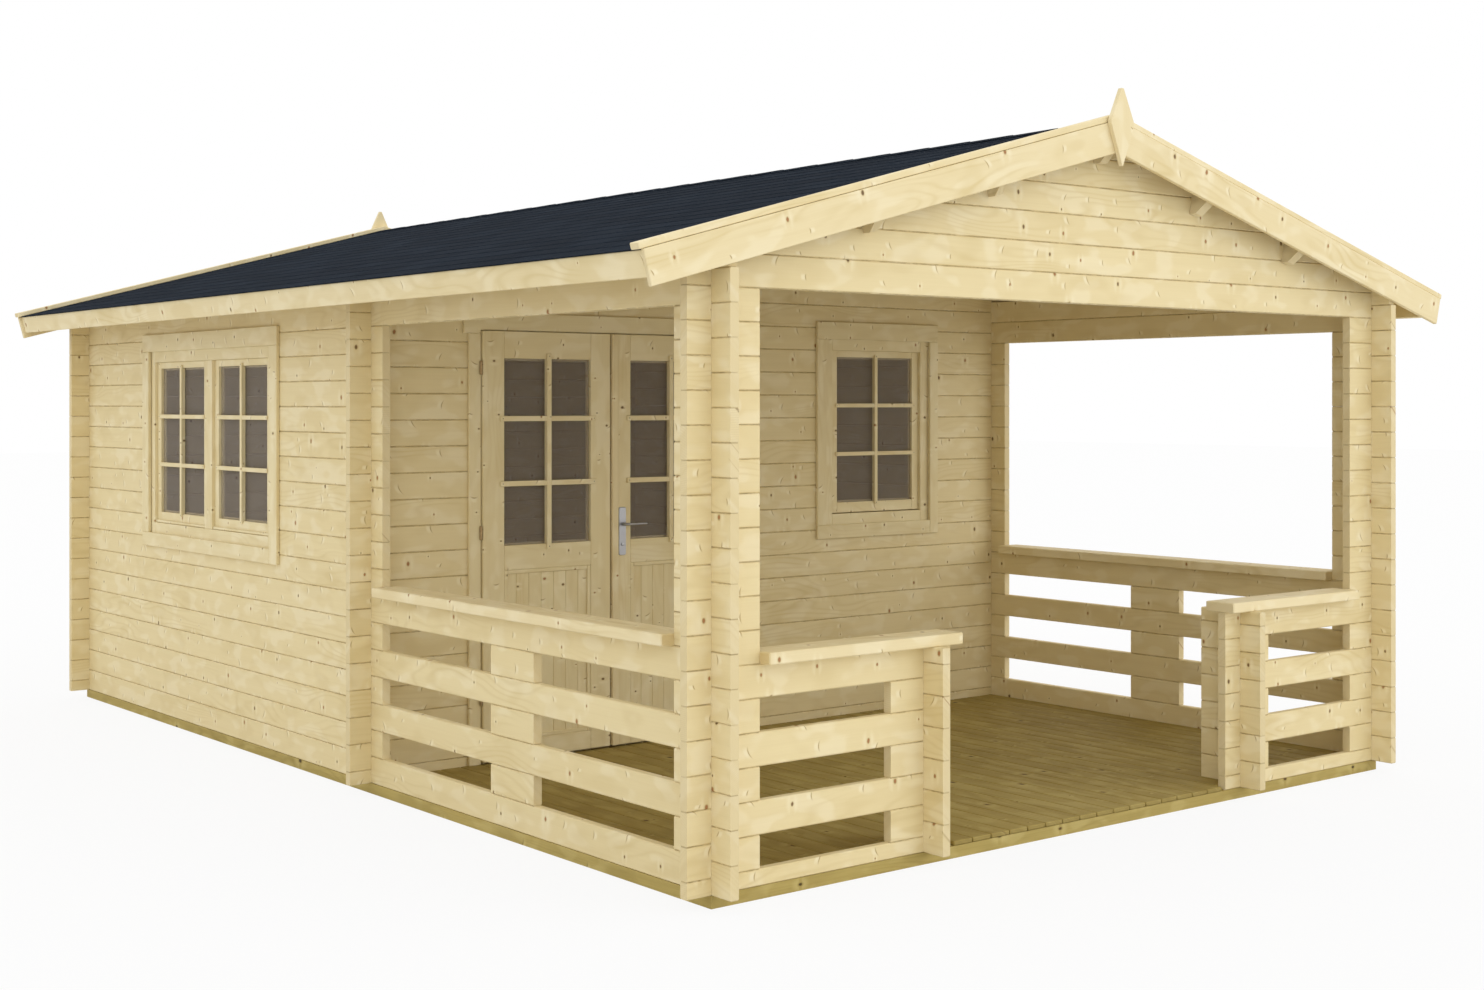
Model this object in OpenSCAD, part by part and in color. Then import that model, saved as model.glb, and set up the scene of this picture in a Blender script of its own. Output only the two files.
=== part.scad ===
// Log cabin with a roofed veranda, interlocking log corners and a glazed double door.
// Millimetres. The origin is on the ground at the middle of the plan, the veranda faces -Y.

/* [Logs] */
// Thickness of every wall log
log_t = 38; // [28:1:60]
// Height of one log course
log_h = 120; // [100:1:150]
// Bevel along the four edges of a log
log_bevel = 4.5; // [2:0.5:8]
// How far log ends stand past the outer wall faces
log_end = 105; // [70:1:150]
// Gap between neighbouring logs and inside the corner notches
joint_gap = 0.4; // [0.3:0.1:0.8]
// Gap between other pieces that rest against each other
seat_gap = 0.3; // [0.2:0.1:0.5]

/* [Plan] */
// Width over the outer faces of the side walls
house_w = 4000; // [3700:10:4800]
// Depth of the veranda, from the front face to the front of the door wall
veranda_d = 2480; // [1900:10:3000]
// Depth of the room, from the front of the door wall to the outer back face
room_d = 3580; // [3000:10:4500]
// Full side wall courses below the two plate logs
wall_courses = 17; // [16:1:19]

/* [Base and floors] */
// Height of the base beams
base_h = 46; // [40:1:90]
// Width of the base beams
base_w = 70; // [60:1:120]
// Widest spacing of the floor joists
joist_pitch = 560; // [350:10:700]
// Width of one joist
joist_w = 58; // [40:1:90]
// Thickness of the veranda deck and the room floor
floor_t = 18; // [15:1:28]

/* [Posts and railings] */
// Reach of the corner post logs from the outer faces
post_reach = 215; // [180:1:300]
// Height in courses of the side railings
rail_courses = 7; // [5:2:9]
// Length of the spacer blocks halfway along the side railings
spacer_l = 320; // [200:10:500]
// Distance from the outer side face to the middle of a front end post
front_bay = 1030; // [800:10:1300]
// Length of the blocks that fill an end post's gaps, towards the corner
end_block_l = 167; // [100:1:250]
// Reach of an end post's cross logs behind the railing
post_back = 173; // [105:1:220]
// Width of the handrails
handrail_w = 150; // [100:1:180]
// Thickness of the handrails
handrail_t = 44; // [28:1:60]
// Overhang of a front handrail past the last log end
handrail_over = 15; // [5:1:40]

/* [Roof] */
// Roof pitch in degrees
pitch = 15.2; // [12:0.1:20]
// Height lost from the top plate log under the roof boards
plate_trim = 2; // [1:0.5:6]
// Thickness of the roof boards
board_t = 18; // [15:1:28]
// Thickness of the shingles
shingle_t = 5; // [3:0.5:8]
// Width of a purlin
purlin_w = 45; // [35:1:70]
// Depth of a purlin
purlin_d = 145; // [110:1:180]
// Spacing of the purlins, measured level from the ridge
purlin_pitch = 655; // [550:5:800]
// Bevel under the purlin ends
purlin_bevel = 60; // [20:1:90]
// Slope length from the ridge to the eave fascia's outer face, past the wall
eave_over = 360; // [250:5:500]
// Overhang of the roof boards past the front and back faces
gable_over = 95; // [80:5:300]
// Depth of the eave fascia
fascia_d = 95; // [70:1:140]
// Thickness of fascia, bargeboards and finials
trim_board_t = 20; // [15:1:28]
// Depth of the bargeboards
barge_d = 127; // [100:1:180]
// How far a bargeboard runs past the eave fascia
barge_over = 16; // [5:1:40]
// Height of the shingles over the bargeboards
barge_lip = 1; // [0.5:0.5:3]
// How far the shingles run past the eave fascia
shingle_over = 10; // [5:1:20]
// Thickness of the strip that covers the shingle edge
strip_t = 24.5; // [15:0.5:40]
// Width of that strip
strip_w = 50; // [35:1:70]
// How far the strip runs past the bargeboard's end
strip_over = 13; // [5:1:60]
// How far the strip stands back from the bargeboard's face
strip_in = 5; // [2:1:15]
// Height of a finial
finial_h = 315; // [240:5:400]
// Width of a finial
finial_w = 110; // [80:1:160]
// Width of a finial's blunt top
finial_top_w = 22; // [10:1:40]
// Height of a finial below the ridge of the shingles
finial_drop = 190; // [120:5:240]
// Height of a finial's widest line above its tip
finial_belly = 184; // [120:2:230]

/* [Windows] */
// Width of the glass in one side window sash
side_pane_w = 584; // [450:1:640]
// Width of the glass in the front window sash
front_pane_w = 556; // [450:1:640]
// Width of a sash stile
stile_w = 48; // [35:1:70]
// Height of a sash's top rail
sash_head = 34; // [30:1:70]
// Height of a sash's bottom rail
sash_foot = 59; // [40:1:80]
// Thickness of a sash
sash_t = 36; // [30:1:38]
// Depth of a sash behind the outer wall face
sash_in = 19; // [10:1:20]
// Depth of the frame's face behind the outer wall face
frame_in = 2; // [0.5:0.5:6]
// Frame width that shows beside the side window sashes
side_frame_show = 47; // [30:1:60]
// Frame width that shows beside the front window sash
front_frame_show = 58; // [40:1:70]
// Frame height that shows over a sash
head_show = 59; // [40:1:70]
// Frame height that shows under a sash
foot_show = 57; // [40:1:70]
// Thickness of the outer window and door trims
trim_t = 18; // [15:1:24]
// Lap of the upright trims over the logs
trim_lap = 38; // [20:1:50]
// Width of the upright trims of the side window
side_trim_w = 88; // [70:1:110]
// Width of the upright trims of the front window
front_trim_w = 63; // [50:1:100]
// Height of the trim over a window
head_trim_w = 94; // [70:1:110]
// Lap of that trim over the logs
head_lap = 33; // [20:1:50]
// Height of the trim under a window
foot_trim_w = 74; // [60:1:100]
// Lap of that trim over the logs
foot_lap = 49; // [20:1:55]
// Width of the post between the two side window sashes
mullion_w = 92; // [70:1:140]
// First log course above a window sill
sill_course = 8; // [6:1:10]
// Thickness of the glass
glass_t = 4; // [3:0.5:8]
// Glass depth behind a sash's outer face
glass_in = 14; // [8:1:20]
// How far the side window stands behind the middle of the room
side_window_off = 14; // [-60:2:60]

/* [Door] */
// Share of the front wall's free width that is left of the doorway
left_share = 0.31; // [0.25:0.005:0.4]
// Share of that width that is right of the front window
right_share = 0.315; // [0.25:0.005:0.4]
// Width of one door leaf
leaf_w = 714; // [600:1:800]
// Height of the leaf's bottom edge over the floor
leaf_up = 10; // [6:1:20]
// Thickness of the leaf
leaf_t = 40; // [36:1:50]
// How far the leaves stand into the wall
leaf_in = 8; // [4:1:12]
// Height of the doorway above the leaf
head_h = 67; // [50:1:100]
// Running clearance round the leaves
leaf_play = 7; // [6.5:0.5:9]
// Width of a leaf's stiles
leaf_stile = 114; // [90:1:130]
// Height of a leaf's top rail
top_rail_h = 127; // [90:1:150]
// Height of a leaf's bottom rail
bottom_rail_h = 88; // [70:1:150]
// Height of a leaf's middle rail
mid_rail_h = 115; // [80:1:150]
// Height of the boarded panel
panel_h = 799; // [600:1:850]
// Thickness of the boarded panel
panel_t = 20; // [15:1:28]
// Lap of a leaf over the stops behind it
leaf_lap = 15; // [10:1:25]
// Width of the trim beside the door
door_trim_w = 59; // [45:1:80]
// Lap of that trim over the logs
door_trim_lap = 22; // [15:1:30]
// Height of the trim over the door, at its ends
door_head_trim_h = 98; // [85:1:120]
// How far the ends of that trim reach below the leaves' top
door_head_drop = 12; // [0:1:20]
// How far they reach past the upright trims
door_head_ear = 27; // [10:1:40]
// Width of the strip on the closing edge
meeting_strip_w = 36; // [25:1:50]
// Thickness of that strip
meeting_strip_t = 12; // [8:1:18]
// Radius of a hinge knuckle
hinge_r = 7; // [5:0.5:9]
// Height of one hinge, both knuckles together
hinge_h = 64; // [50:1:120]
// Distance from a leaf's top to its upper hinge
hinge_drop = 173; // [120:1:300]
// Distance from a leaf's bottom to its lower hinge
hinge_foot = 300; // [150:1:350]
// Width of a handle plate
plate_w = 43; // [30:1:55]
// Height of a handle plate
plate_h = 235; // [180:1:260]
// Thickness of a handle plate
plate_t = 6; // [4:0.5:8]
// Share of a plate's height below the lever
plate_share = 0.65; // [0.5:0.05:0.8]
// Gap between the meeting strip and the handle plate
plate_gap = 4; // [2:0.5:8]
// Length of the lever
lever_l = 130; // [100:1:150]
// Stand-off of the lever from the leaf
lever_out = 48; // [35:1:60]
// Radius of the lever's grip
grip_r = 9; // [7:0.5:12]
// Radius of the lever's neck
neck_r = 8; // [6:0.5:10]
// Radius of the spindle through the stile
spindle_r = 4.5; // [4:0.5:5.5]
// Height of the lever's axis above the leaf's bottom edge
lever_up = 1078; // [950:1:1150]

/* [Hidden] */
$fn = 48;

// Finishes
spruce = "#e6d3a0";
sawn = "#dcc690";
joinery = "#e2c98f";
treated = "#a08b4c";
slate = "#2b303d";
pane = "#6d6a66";
steel = "#a3a5a8";

// Plan lines: outer faces of the four walls and the front of the door wall
house_d = veranda_d + room_d;
side_x = house_w / 2;
front_y = -house_d / 2;
door_y = front_y + veranda_d;
back_y = house_d / 2;
// Middle planes of the walls, where the logs cross
side_mid = side_x - log_t / 2;
front_mid = front_y + log_t / 2;
door_mid = door_y + log_t / 2;
back_mid = back_y - log_t / 2;

// Heights: side wall courses start on the base, end wall courses half a log higher
function side_z(course) = base_h + course * log_h;
function end_z(course) = base_h + (course + 0.5) * log_h;
notch_d = log_h / 4;
notch_w = log_t + 2 * joint_gap;
// Railing logs and gaps take turns: the side railings are open in the odd courses
function is_odd(course) = course % 2 == 1;

// Roof lines: a point at slope distance u from the ridge and height v over the board underside
eave_z = side_z(wall_courses + 2) - plate_trim;
ridge_z = eave_z + side_x * tan(pitch);
function on_slope(u, v) = [u * cos(pitch) + v * sin(pitch), ridge_z + v * cos(pitch) - u * sin(pitch)];
function at_ridge(v) = on_slope((joint_gap / 2 - v * sin(pitch)) / cos(pitch), v);
roof_top = board_t + shingle_t;
roof_u = side_x / cos(pitch) + eave_over;
roof_y = house_d / 2 + gable_over;
barge_y = roof_y + trim_board_t;
// Bargeboards: their top over the boards' underside, and their lower edge at the side wall's face
barge_top = roof_top - barge_lip;
barge_low = eave_z + (barge_top - barge_d) / cos(pitch);

// One log's section, upright and centred on its wall plane
function log_section(low, high) =
  let (a = log_t / 2, b = log_bevel, l = low + joint_gap / 2, h = high - joint_gap / 2)
  [[-a, l + b], [b - a, l], [a - b, l], [a, l + b], [a, h - b], [a - b, h], [b - a, h], [-a, h - b]];

// Saddle notches cut into the upper and lower edges where another wall crosses
module notch(along, low, high, cut_low, cut_high) {
  over = log_h;
  if (cut_low)
    translate([along - notch_w / 2, -log_t, low - over])
      cube([notch_w, 2 * log_t, over + notch_d + joint_gap / 2]);
  if (cut_high)
    translate([along - notch_w / 2, -log_t, high - notch_d - joint_gap / 2])
      cube([notch_w, 2 * log_t, over]);
}

// A log along X from x0 to x1 in the wall plane y, notched at each x in crossings
module log_x(x0, x1, y, low, high, crossings, cut_low = true, cut_high = true) {
  translate([0, y, 0])
    difference() {
      translate([x0, 0, 0]) rotate([90, 0, 90]) linear_extrude(x1 - x0) polygon(log_section(low, high));
      for (c = crossings) notch(c, low, high, cut_low, cut_high);
    }
}

// A log along Y from y0 to y1 in the wall plane x, notched at each y in crossings
module log_y(y0, y1, x, low, high, crossings, cut_low = true, cut_high = true) {
  translate([x, 0, 0])
    difference() {
      translate([0, y1, 0]) rotate([90, 0, 0]) linear_extrude(y1 - y0) polygon(log_section(low, high));
      for (c = crossings) rotate([0, 0, 90]) notch(c, low, high, cut_low, cut_high);
    }
}

// A full course of an end wall; course -1 is the half log on the base
module end_course(course, x0, x1, y, crossings) {
  low = course < 0 ? base_h : end_z(course);
  log_x(x0, x1, y, low, end_z(course + 1), crossings, course >= 0, true);
}

module side_course(course, y0, y1, x, crossings) {
  log_y(y0, y1, x, side_z(course), side_z(course + 1), crossings);
}

// Everything below the underside of the roof boards
module under_roof() {
  reach = side_x + 2 * log_end;
  low = ridge_z - seat_gap - reach * tan(pitch);
  rotate([90, 0, 0])
    linear_extrude(2 * house_d, center = true)
      polygon([[-reach, 0], [reach, 0], [reach, low], [0, ridge_z - seat_gap], [-reach, low]]);
}

module mirrored_x() {
  children();
  mirror([1, 0, 0]) children();
}

module mirrored_y() {
  children();
  mirror([0, 1, 0]) children();
}

// Purlin i of -2 to 2, square to the roof; grow widens it into the slot that the gable logs get
module purlin(i, grow = 0) {
  half = roof_y - seat_gap;
  x = i * purlin_pitch;
  low = -purlin_d - grow;
  translate([x, 0, ridge_z - abs(x) * tan(pitch)])
    rotate([0, sign(i) * pitch, 0])
      translate([-purlin_w / 2 - grow, 0, 0])
        rotate([90, 0, 90])
          linear_extrude(purlin_w + 2 * grow)
            polygon([[-half, grow - seat_gap], [-half, low + purlin_bevel], [purlin_bevel - half, low],
                     [half - purlin_bevel, low], [half, low + purlin_bevel], [half, grow - seat_gap]]);
}

// Logs of one gable, from the courses over the openings up to the roof
module gable(y) {
  last = floor((ridge_z - log_h / 2 - end_z(0)) / log_h);
  for (course = [wall_courses : last])
    difference() {
      intersection() {
        log_x(-side_x - log_end, side_x + log_end, y, end_z(course), end_z(course + 1),
              [-side_mid, side_mid], true, course == wall_courses);
        under_roof();
      }
      for (i = [-2 : 2]) purlin(i, joint_gap);
    }
}

module base_frame() {
  inner = side_x - base_w - seat_gap;
  lines = [front_y, door_y, back_y - base_w];
  color(treated) {
    mirrored_x() translate([-side_x, front_y, 0]) cube([base_w, house_d, base_h]);
    for (y = lines) translate([-inner, y, 0]) cube([2 * inner, base_w, base_h]);
    for (bay = [0, 1]) {
      from = lines[bay] + base_w;
      clear = lines[bay + 1] - from;
      count = ceil(clear / joist_pitch) - 1;
      for (k = [1 : count])
        translate([-inner, from + k * clear / (count + 1) - joist_w / 2, 0])
          cube([2 * inner, joist_w, base_h]);
    }
  }
}

// The deck fills the veranda and reaches the front face between the end posts
module veranda_deck() {
  inner = side_x - log_t - joint_gap;
  back = door_y - joint_gap;
  entry = side_x - front_bay - log_t / 2 - log_end - joint_gap;
  post_in = side_x - front_bay;
  color(treated)
    difference() {
      translate([0, 0, base_h + seat_gap]) union() {
        translate([-inner, front_y + log_t + joint_gap, 0])
          cube([2 * inner, back - front_y - log_t - joint_gap, floor_t]);
        translate([-entry, front_y, 0]) cube([2 * entry, 2 * log_t, floor_t]);
      }
      mirrored_x()
        translate([post_in - notch_w / 2, front_y - log_end, 0])
          cube([notch_w, log_end + log_t + post_back + joint_gap, base_h + log_h]);
    }
}

module cabin_floor() {
  inner = side_x - log_t - joint_gap;
  from = door_y + log_t + joint_gap;
  color(sawn)
    translate([-inner, from, base_h + seat_gap])
      cube([2 * inner, back_y - log_t - joint_gap - from, floor_t]);
}

// Where a side wall log of the room begins: at the railing log's end, or as a stub before the door wall
function room_start(course) =
  course < rail_courses && !is_odd(course) ? door_mid + joint_gap / 2 : door_y - log_end;

// Windows: heights over the opening's lower edge, widths between the trims, and the cuts in the logs
window_h = (wall_courses - sill_course) * log_h;
trim_low = foot_trim_w - foot_lap;
trim_high = window_h - head_trim_w + head_lap;
sash_low = trim_low + foot_show;
sash_high = trim_high - head_show;
pane_low = sash_low + sash_foot;
pane_high = sash_high - sash_head;
side_sash_w = side_pane_w + 2 * stile_w;
side_window_y = (door_y + back_y) / 2 + side_window_off;
side_sashes_w = 2 * side_sash_w + mullion_w;
side_window_w = side_sashes_w + 2 * side_frame_show;
side_cut = side_window_w + 2 * (side_trim_w - trim_lap);
front_sash_w = front_pane_w + 2 * stile_w;
front_window_w = front_sash_w + 2 * front_frame_show;
front_cut = front_window_w + 2 * (front_trim_w - trim_lap);

module left_wall() {
  color(spruce)
    for (course = [0 : wall_courses - 1])
      if (course < sill_course)
        side_course(course, room_start(course), back_y + log_end, -side_mid, [door_mid, back_mid]);
      else {
        side_course(course, room_start(course), side_window_y - side_cut / 2, -side_mid, [door_mid]);
        side_course(course, side_window_y + side_cut / 2, back_y + log_end, -side_mid, [back_mid]);
      }
}

module right_wall() {
  color(spruce)
    for (course = [0 : wall_courses - 1])
      side_course(course, room_start(course), back_y + log_end, side_mid, [door_mid, back_mid]);
}

module back_wall() {
  color(spruce)
    for (course = [-1 : wall_courses - 1])
      end_course(course, -side_x - log_end, side_x + log_end, back_mid, [-side_mid, side_mid]);
}

module back_gable() { color(spruce) gable(back_mid); }
module door_wall_gable() { color(spruce) gable(door_mid); }
module front_gable() { color(spruce) gable(front_mid); }

// Doorway: the width over both leaves, the cut in the logs, and the middles that share out the free wall
doorway_w = 2 * leaf_w + leaf_play;
door_cut = doorway_w + 2 * (leaf_play + door_trim_w - door_trim_lap);
free_w = house_w - door_cut - front_cut;
door_x = free_w * left_share + door_cut / 2 - side_x;
front_window_x = side_x - free_w * right_share - front_cut / 2;

module door_wall_left() {
  color(spruce)
    for (course = [-1 : wall_courses - 1])
      end_course(course, -side_x - log_end, door_x - door_cut / 2, door_mid, [-side_mid]);
}

module door_wall_right() {
  from = door_x + door_cut / 2;
  color(spruce)
    for (course = [-1 : wall_courses - 1])
      if (course < sill_course)
        end_course(course, from, side_x + log_end, door_mid, [side_mid]);
      else {
        end_course(course, from, front_window_x - front_cut / 2, door_mid, []);
        end_course(course, front_window_x + front_cut / 2, side_x + log_end, door_mid, [side_mid]);
      }
}

// The two top logs of each side wall run from the front to the back, and stop short behind a bargeboard
function plate_end(course) =
  side_z(course + 1) + joint_gap > barge_low ? min(log_end, gable_over - seat_gap) : log_end;

module wall_plates() {
  color(spruce)
    mirrored_x()
      for (course = [wall_courses, wall_courses + 1])
        intersection() {
          side_course(course, front_y - plate_end(course), back_y + plate_end(course), side_mid,
                      [front_mid, door_mid, back_mid]);
          under_roof();
        }
}

// Corner post of crossing short logs, in the courses where no railing log passes
module corner_post() {
  for (course = [0 : wall_courses - 1]) {
    if (course >= rail_courses - 1 || !is_odd(course))
      end_course(course, -side_x - log_end, post_reach - side_x, front_mid, [-side_mid]);
    if (course >= rail_courses || is_odd(course))
      side_course(course, front_y - log_end, front_y + post_reach, -side_mid, [front_mid]);
  }
}

module front_left_post() { color(spruce) corner_post(); }
module front_right_post() { color(spruce) mirror([1, 0, 0]) corner_post(); }

// Side railing: every other log runs through to the door wall, with spacer blocks halfway
module side_railing() {
  middle = (front_y + post_reach + door_y - log_end) / 2;
  for (course = [0 : rail_courses - 1])
    if (is_odd(course))
      side_course(course, middle - spacer_l / 2, middle + spacer_l / 2, -side_mid, []);
    else
      side_course(course, front_y - log_end, door_mid - joint_gap / 2, -side_mid, [front_mid, door_mid]);
}

module left_railing() { color(spruce) side_railing(); }
module right_railing() { color(spruce) mirror([1, 0, 0]) side_railing(); }

// Front railing between the corner and an end post of crossing short logs
module front_railing() {
  post = front_bay - side_x;
  last = post + log_t / 2 + log_end;
  for (course = [-1 : rail_courses - 2])
    if (course < 0 || is_odd(course))
      end_course(course, -side_x - log_end, last, front_mid, [-side_mid, post]);
    else
      end_course(course, post - log_t / 2 - end_block_l, last, front_mid, [post]);
  for (course = [0 : rail_courses - 2])
    side_course(course, front_y - log_end, front_y + log_t + post_back, post, [front_mid]);
  log_y(front_y - log_end, front_y + log_t + post_back, post,
        side_z(rail_courses - 1), end_z(rail_courses - 1), [front_mid], true, false);
}

module front_left_railing() { color(spruce) front_railing(); }
module front_right_railing() { color(spruce) mirror([1, 0, 0]) front_railing(); }

module handrails() {
  side_from = front_y + post_reach + seat_gap;
  side_to = door_y - log_end - seat_gap;
  front_from = -side_x + post_reach + seat_gap;
  front_to = -side_x + front_bay + log_t / 2 + log_end + handrail_over;
  color(spruce)
    mirrored_x() {
      translate([-side_mid - handrail_w / 2, side_from, side_z(rail_courses)])
        cube([handrail_w, side_to - side_from, handrail_t]);
      translate([front_from, front_mid - handrail_w / 2, end_z(rail_courses - 1)])
        cube([front_to - front_from, handrail_w, handrail_t]);
    }
}

module purlins() {
  color(sawn)
    for (i = [-2 : 2])
      intersection() {
        purlin(i);
        under_roof();
      }
}

// A board of the right slope between two heights v over the boards' underside, mitred at the ridge
module slope_board(u_end, v0, v1, y0, y1) {
  translate([0, y1, 0])
    rotate([90, 0, 0])
      linear_extrude(y1 - y0)
        polygon([at_ridge(v0), on_slope(u_end, v0), on_slope(u_end, v1), at_ridge(v1)]);
}

module roof_board_slope() { slope_board(roof_u - trim_board_t - seat_gap, 0, board_t, -roof_y, roof_y); }
module shingle_slope() { slope_board(roof_u + shingle_over, board_t + seat_gap, roof_top, -roof_y, roof_y); }

module left_roof_boards() { color(sawn) mirror([1, 0, 0]) roof_board_slope(); }
module right_roof_boards() { color(sawn) roof_board_slope(); }
module left_shingles() { color(slate) mirror([1, 0, 0]) shingle_slope(); }
module right_shingles() { color(slate) shingle_slope(); }

module eave_fascias() {
  u0 = roof_u - trim_board_t;
  v0 = board_t - fascia_d;
  color(spruce)
    mirrored_x()
      translate([0, roof_y, 0])
        rotate([90, 0, 0])
          linear_extrude(2 * roof_y)
            polygon([on_slope(u0, v0), on_slope(roof_u, v0), on_slope(roof_u, board_t), on_slope(u0, board_t)]);
}

module bargeboards() {
  color(spruce)
    mirrored_y() mirrored_x()
      slope_board(roof_u + barge_over, barge_top - barge_d, barge_top, roof_y + seat_gap, barge_y);
}

module cover_strips() {
  edge = barge_y - strip_in;
  color(spruce)
    mirrored_y() mirrored_x()
      slope_board(roof_u + barge_over + strip_over, roof_top + seat_gap, roof_top + strip_t,
                  edge - strip_w, edge);
}

module finials() {
  low = ridge_z + roof_top / cos(pitch) - finial_drop;
  belly = low + finial_belly;
  color(spruce)
    mirrored_y()
      translate([0, barge_y + seat_gap + trim_board_t, 0])
        rotate([90, 0, 0])
          linear_extrude(trim_board_t)
            polygon([[0, low], [finial_w / 2, belly], [finial_top_w / 2, low + finial_h],
                     [-finial_top_w / 2, low + finial_h], [-finial_w / 2, belly]]);
}

// Four separate boards round an opening from z0 to z1: the upright ones stand between the level ones
module surround(w, z0, z1, side_b, low_b, high_b, y0, y1) {
  d = y1 - y0;
  for (s = [-1, 1])
    translate([s * (w + side_b) / 2 - side_b / 2, y0, z0 + joint_gap])
      cube([side_b, d, z1 - z0 - 2 * joint_gap]);
  translate([-w / 2 - side_b, y0, z0 - low_b]) cube([w + 2 * side_b, d, low_b]);
  translate([-w / 2 - side_b, y0, z1]) cube([w + 2 * side_b, d, high_b]);
}

// A window is drawn with its outer wall face at y = 0, its middle at x = 0 and its opening from z = 0
module window_trim(frame_w, side_b) {
  surround(frame_w, trim_low, trim_high, side_b, foot_trim_w, head_trim_w, -trim_t, -seat_gap);
}

module window_frame(inner_w, cut) {
  side_b = (cut - inner_w) / 2 - 2 * joint_gap;
  surround(inner_w + 2 * joint_gap, sash_low - joint_gap, sash_high + joint_gap, side_b,
           sash_low - 2 * joint_gap, window_h - sash_high - 2 * joint_gap, frame_in, log_t + trim_t);
}

module sash(pane_w) {
  surround(pane_w, pane_low, pane_high, stile_w, sash_foot, sash_head, sash_in, sash_in + sash_t);
}

module sash_glass(pane_w) {
  translate([-pane_w / 2 + seat_gap, sash_in + glass_in, pane_low + seat_gap])
    cube([pane_w - 2 * seat_gap, glass_t, pane_high - pane_low - 2 * seat_gap]);
}

module in_side_wall() {
  translate([-side_x, side_window_y, side_z(sill_course)]) rotate([0, 0, -90]) children();
}

module in_door_wall() {
  translate([front_window_x, door_y, end_z(sill_course)]) children();
}

module two_sashes() {
  for (s = [-1, 1]) translate([s * (side_sash_w + mullion_w) / 2, 0, 0]) children();
}

module side_window_trim() { color(joinery) in_side_wall() window_trim(side_window_w, side_trim_w); }

module side_window_frame() {
  post = mullion_w - 2 * joint_gap;
  color(joinery) in_side_wall() {
    window_frame(side_sashes_w, side_cut);
    translate([-post / 2, frame_in, sash_low])
      cube([post, log_t + trim_t - frame_in, sash_high - sash_low]);
  }
}

module side_window_sashes() { color(joinery) in_side_wall() two_sashes() sash(side_pane_w); }
module side_window_glass() { color(pane) in_side_wall() two_sashes() sash_glass(side_pane_w); }
module front_window_trim() { color(joinery) in_door_wall() window_trim(front_window_w, front_trim_w); }
module front_window_frame() { color(joinery) in_door_wall() window_frame(front_sash_w, front_cut); }
module front_window_sash() { color(joinery) in_door_wall() sash(front_pane_w); }
module front_window_glass() { color(pane) in_door_wall() sash_glass(front_pane_w); }

// The door is drawn with the wall face at y = 0, its middle at x = 0 and z from the ground
module in_doorway() { translate([door_x, door_y, 0]) children(); }

door_top = end_z(wall_courses);
leaf_z = base_h + floor_t + leaf_up;
leaf_h = door_top - head_h - leaf_z;
leaf_top = leaf_z + leaf_h;
leaf_back = leaf_in;
leaf_front = leaf_back - leaf_t;
// The edge of the trim and frame round the leaves
door_edge = doorway_w / 2 + leaf_play;

// Upright trims, and a head trim that is cut out round the leaves' top
module door_trim() {
  out = door_edge + door_trim_w;
  low = base_h + floor_t + seat_gap;
  head_z = leaf_top - door_head_drop;
  color(joinery) in_doorway() {
    mirrored_x()
      translate([door_edge, -trim_t, low]) cube([door_trim_w, trim_t - seat_gap, head_z - joint_gap - low]);
    difference() {
      translate([-out - door_head_ear, -trim_t, head_z])
        cube([2 * (out + door_head_ear), trim_t - seat_gap, door_head_trim_h]);
      translate([-door_edge, -2 * trim_t, head_z - log_h])
        cube([2 * door_edge, 4 * trim_t, log_h + door_head_drop + leaf_play]);
    }
  }
}

// Two jambs, a head and a sill, with stops behind the leaves' edges
module door_frame() {
  stop_x = doorway_w / 2 - leaf_lap;
  stop_y = leaf_back + leaf_play;
  low = base_h + seat_gap;
  high = door_top - joint_gap;
  sill_top = base_h + floor_t;
  head_low = leaf_top + leaf_play;
  inner_w = 2 * (door_edge - joint_gap);
  stops = [[sill_top + joint_gap, leaf_z + leaf_lap], [leaf_top - leaf_lap, head_low - joint_gap]];
  color(joinery) in_doorway() {
    mirrored_x() {
      translate([door_edge, 0, low]) cube([door_cut / 2 - joint_gap - door_edge, log_t, high - low]);
      translate([stop_x, stop_y, stops[0][0]])
        cube([door_edge - joint_gap - stop_x, log_t - stop_y, stops[1][1] - stops[0][0]]);
    }
    translate([-inner_w / 2, 0, low]) cube([inner_w, log_t, sill_top - low]);
    translate([-inner_w / 2, 0, head_low]) cube([inner_w, log_t, high - head_low]);
    for (s = stops)
      translate([joint_gap - stop_x, stop_y, s[0]])
        cube([2 * (stop_x - joint_gap), log_t - stop_y, s[1] - s[0]]);
  }
}

// Hinge line of a leaf: just outside its edge, in front of the trim
stub_r = 4;
hinge_x = doorway_w / 2 + hinge_r + 1;
hinge_y = -trim_t - hinge_r - 1;
hinge_low = leaf_z + hinge_foot;
hinge_high = leaf_top - hinge_drop;
hinge_levels = [hinge_low, (hinge_low + hinge_high) / 2, hinge_high];
knuckle_h = (hinge_h - seat_gap) / 2;

// The lower knuckles stand on stubs in the trims
module hinge_pins() {
  color(steel) in_doorway() mirrored_x()
    for (z = hinge_levels) translate([hinge_x, hinge_y, z - hinge_h / 2]) {
      cylinder(h = knuckle_h, r = hinge_r);
      translate([0, 0, knuckle_h / 2]) rotate([-90, 0, 0]) cylinder(h = hinge_r + 1 - seat_gap, r = stub_r);
    }
}

// The upper knuckles of the right leaf, on stubs in its edge
module leaf_hinges() {
  for (z = hinge_levels) translate([hinge_x, hinge_y, z + seat_gap / 2]) {
    cylinder(h = knuckle_h, r = hinge_r);
    translate([0, 0, knuckle_h / 2])
      rotate([0, -90, 0]) cylinder(h = hinge_x - doorway_w / 2 - seat_gap, r = stub_r);
  }
}

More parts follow.
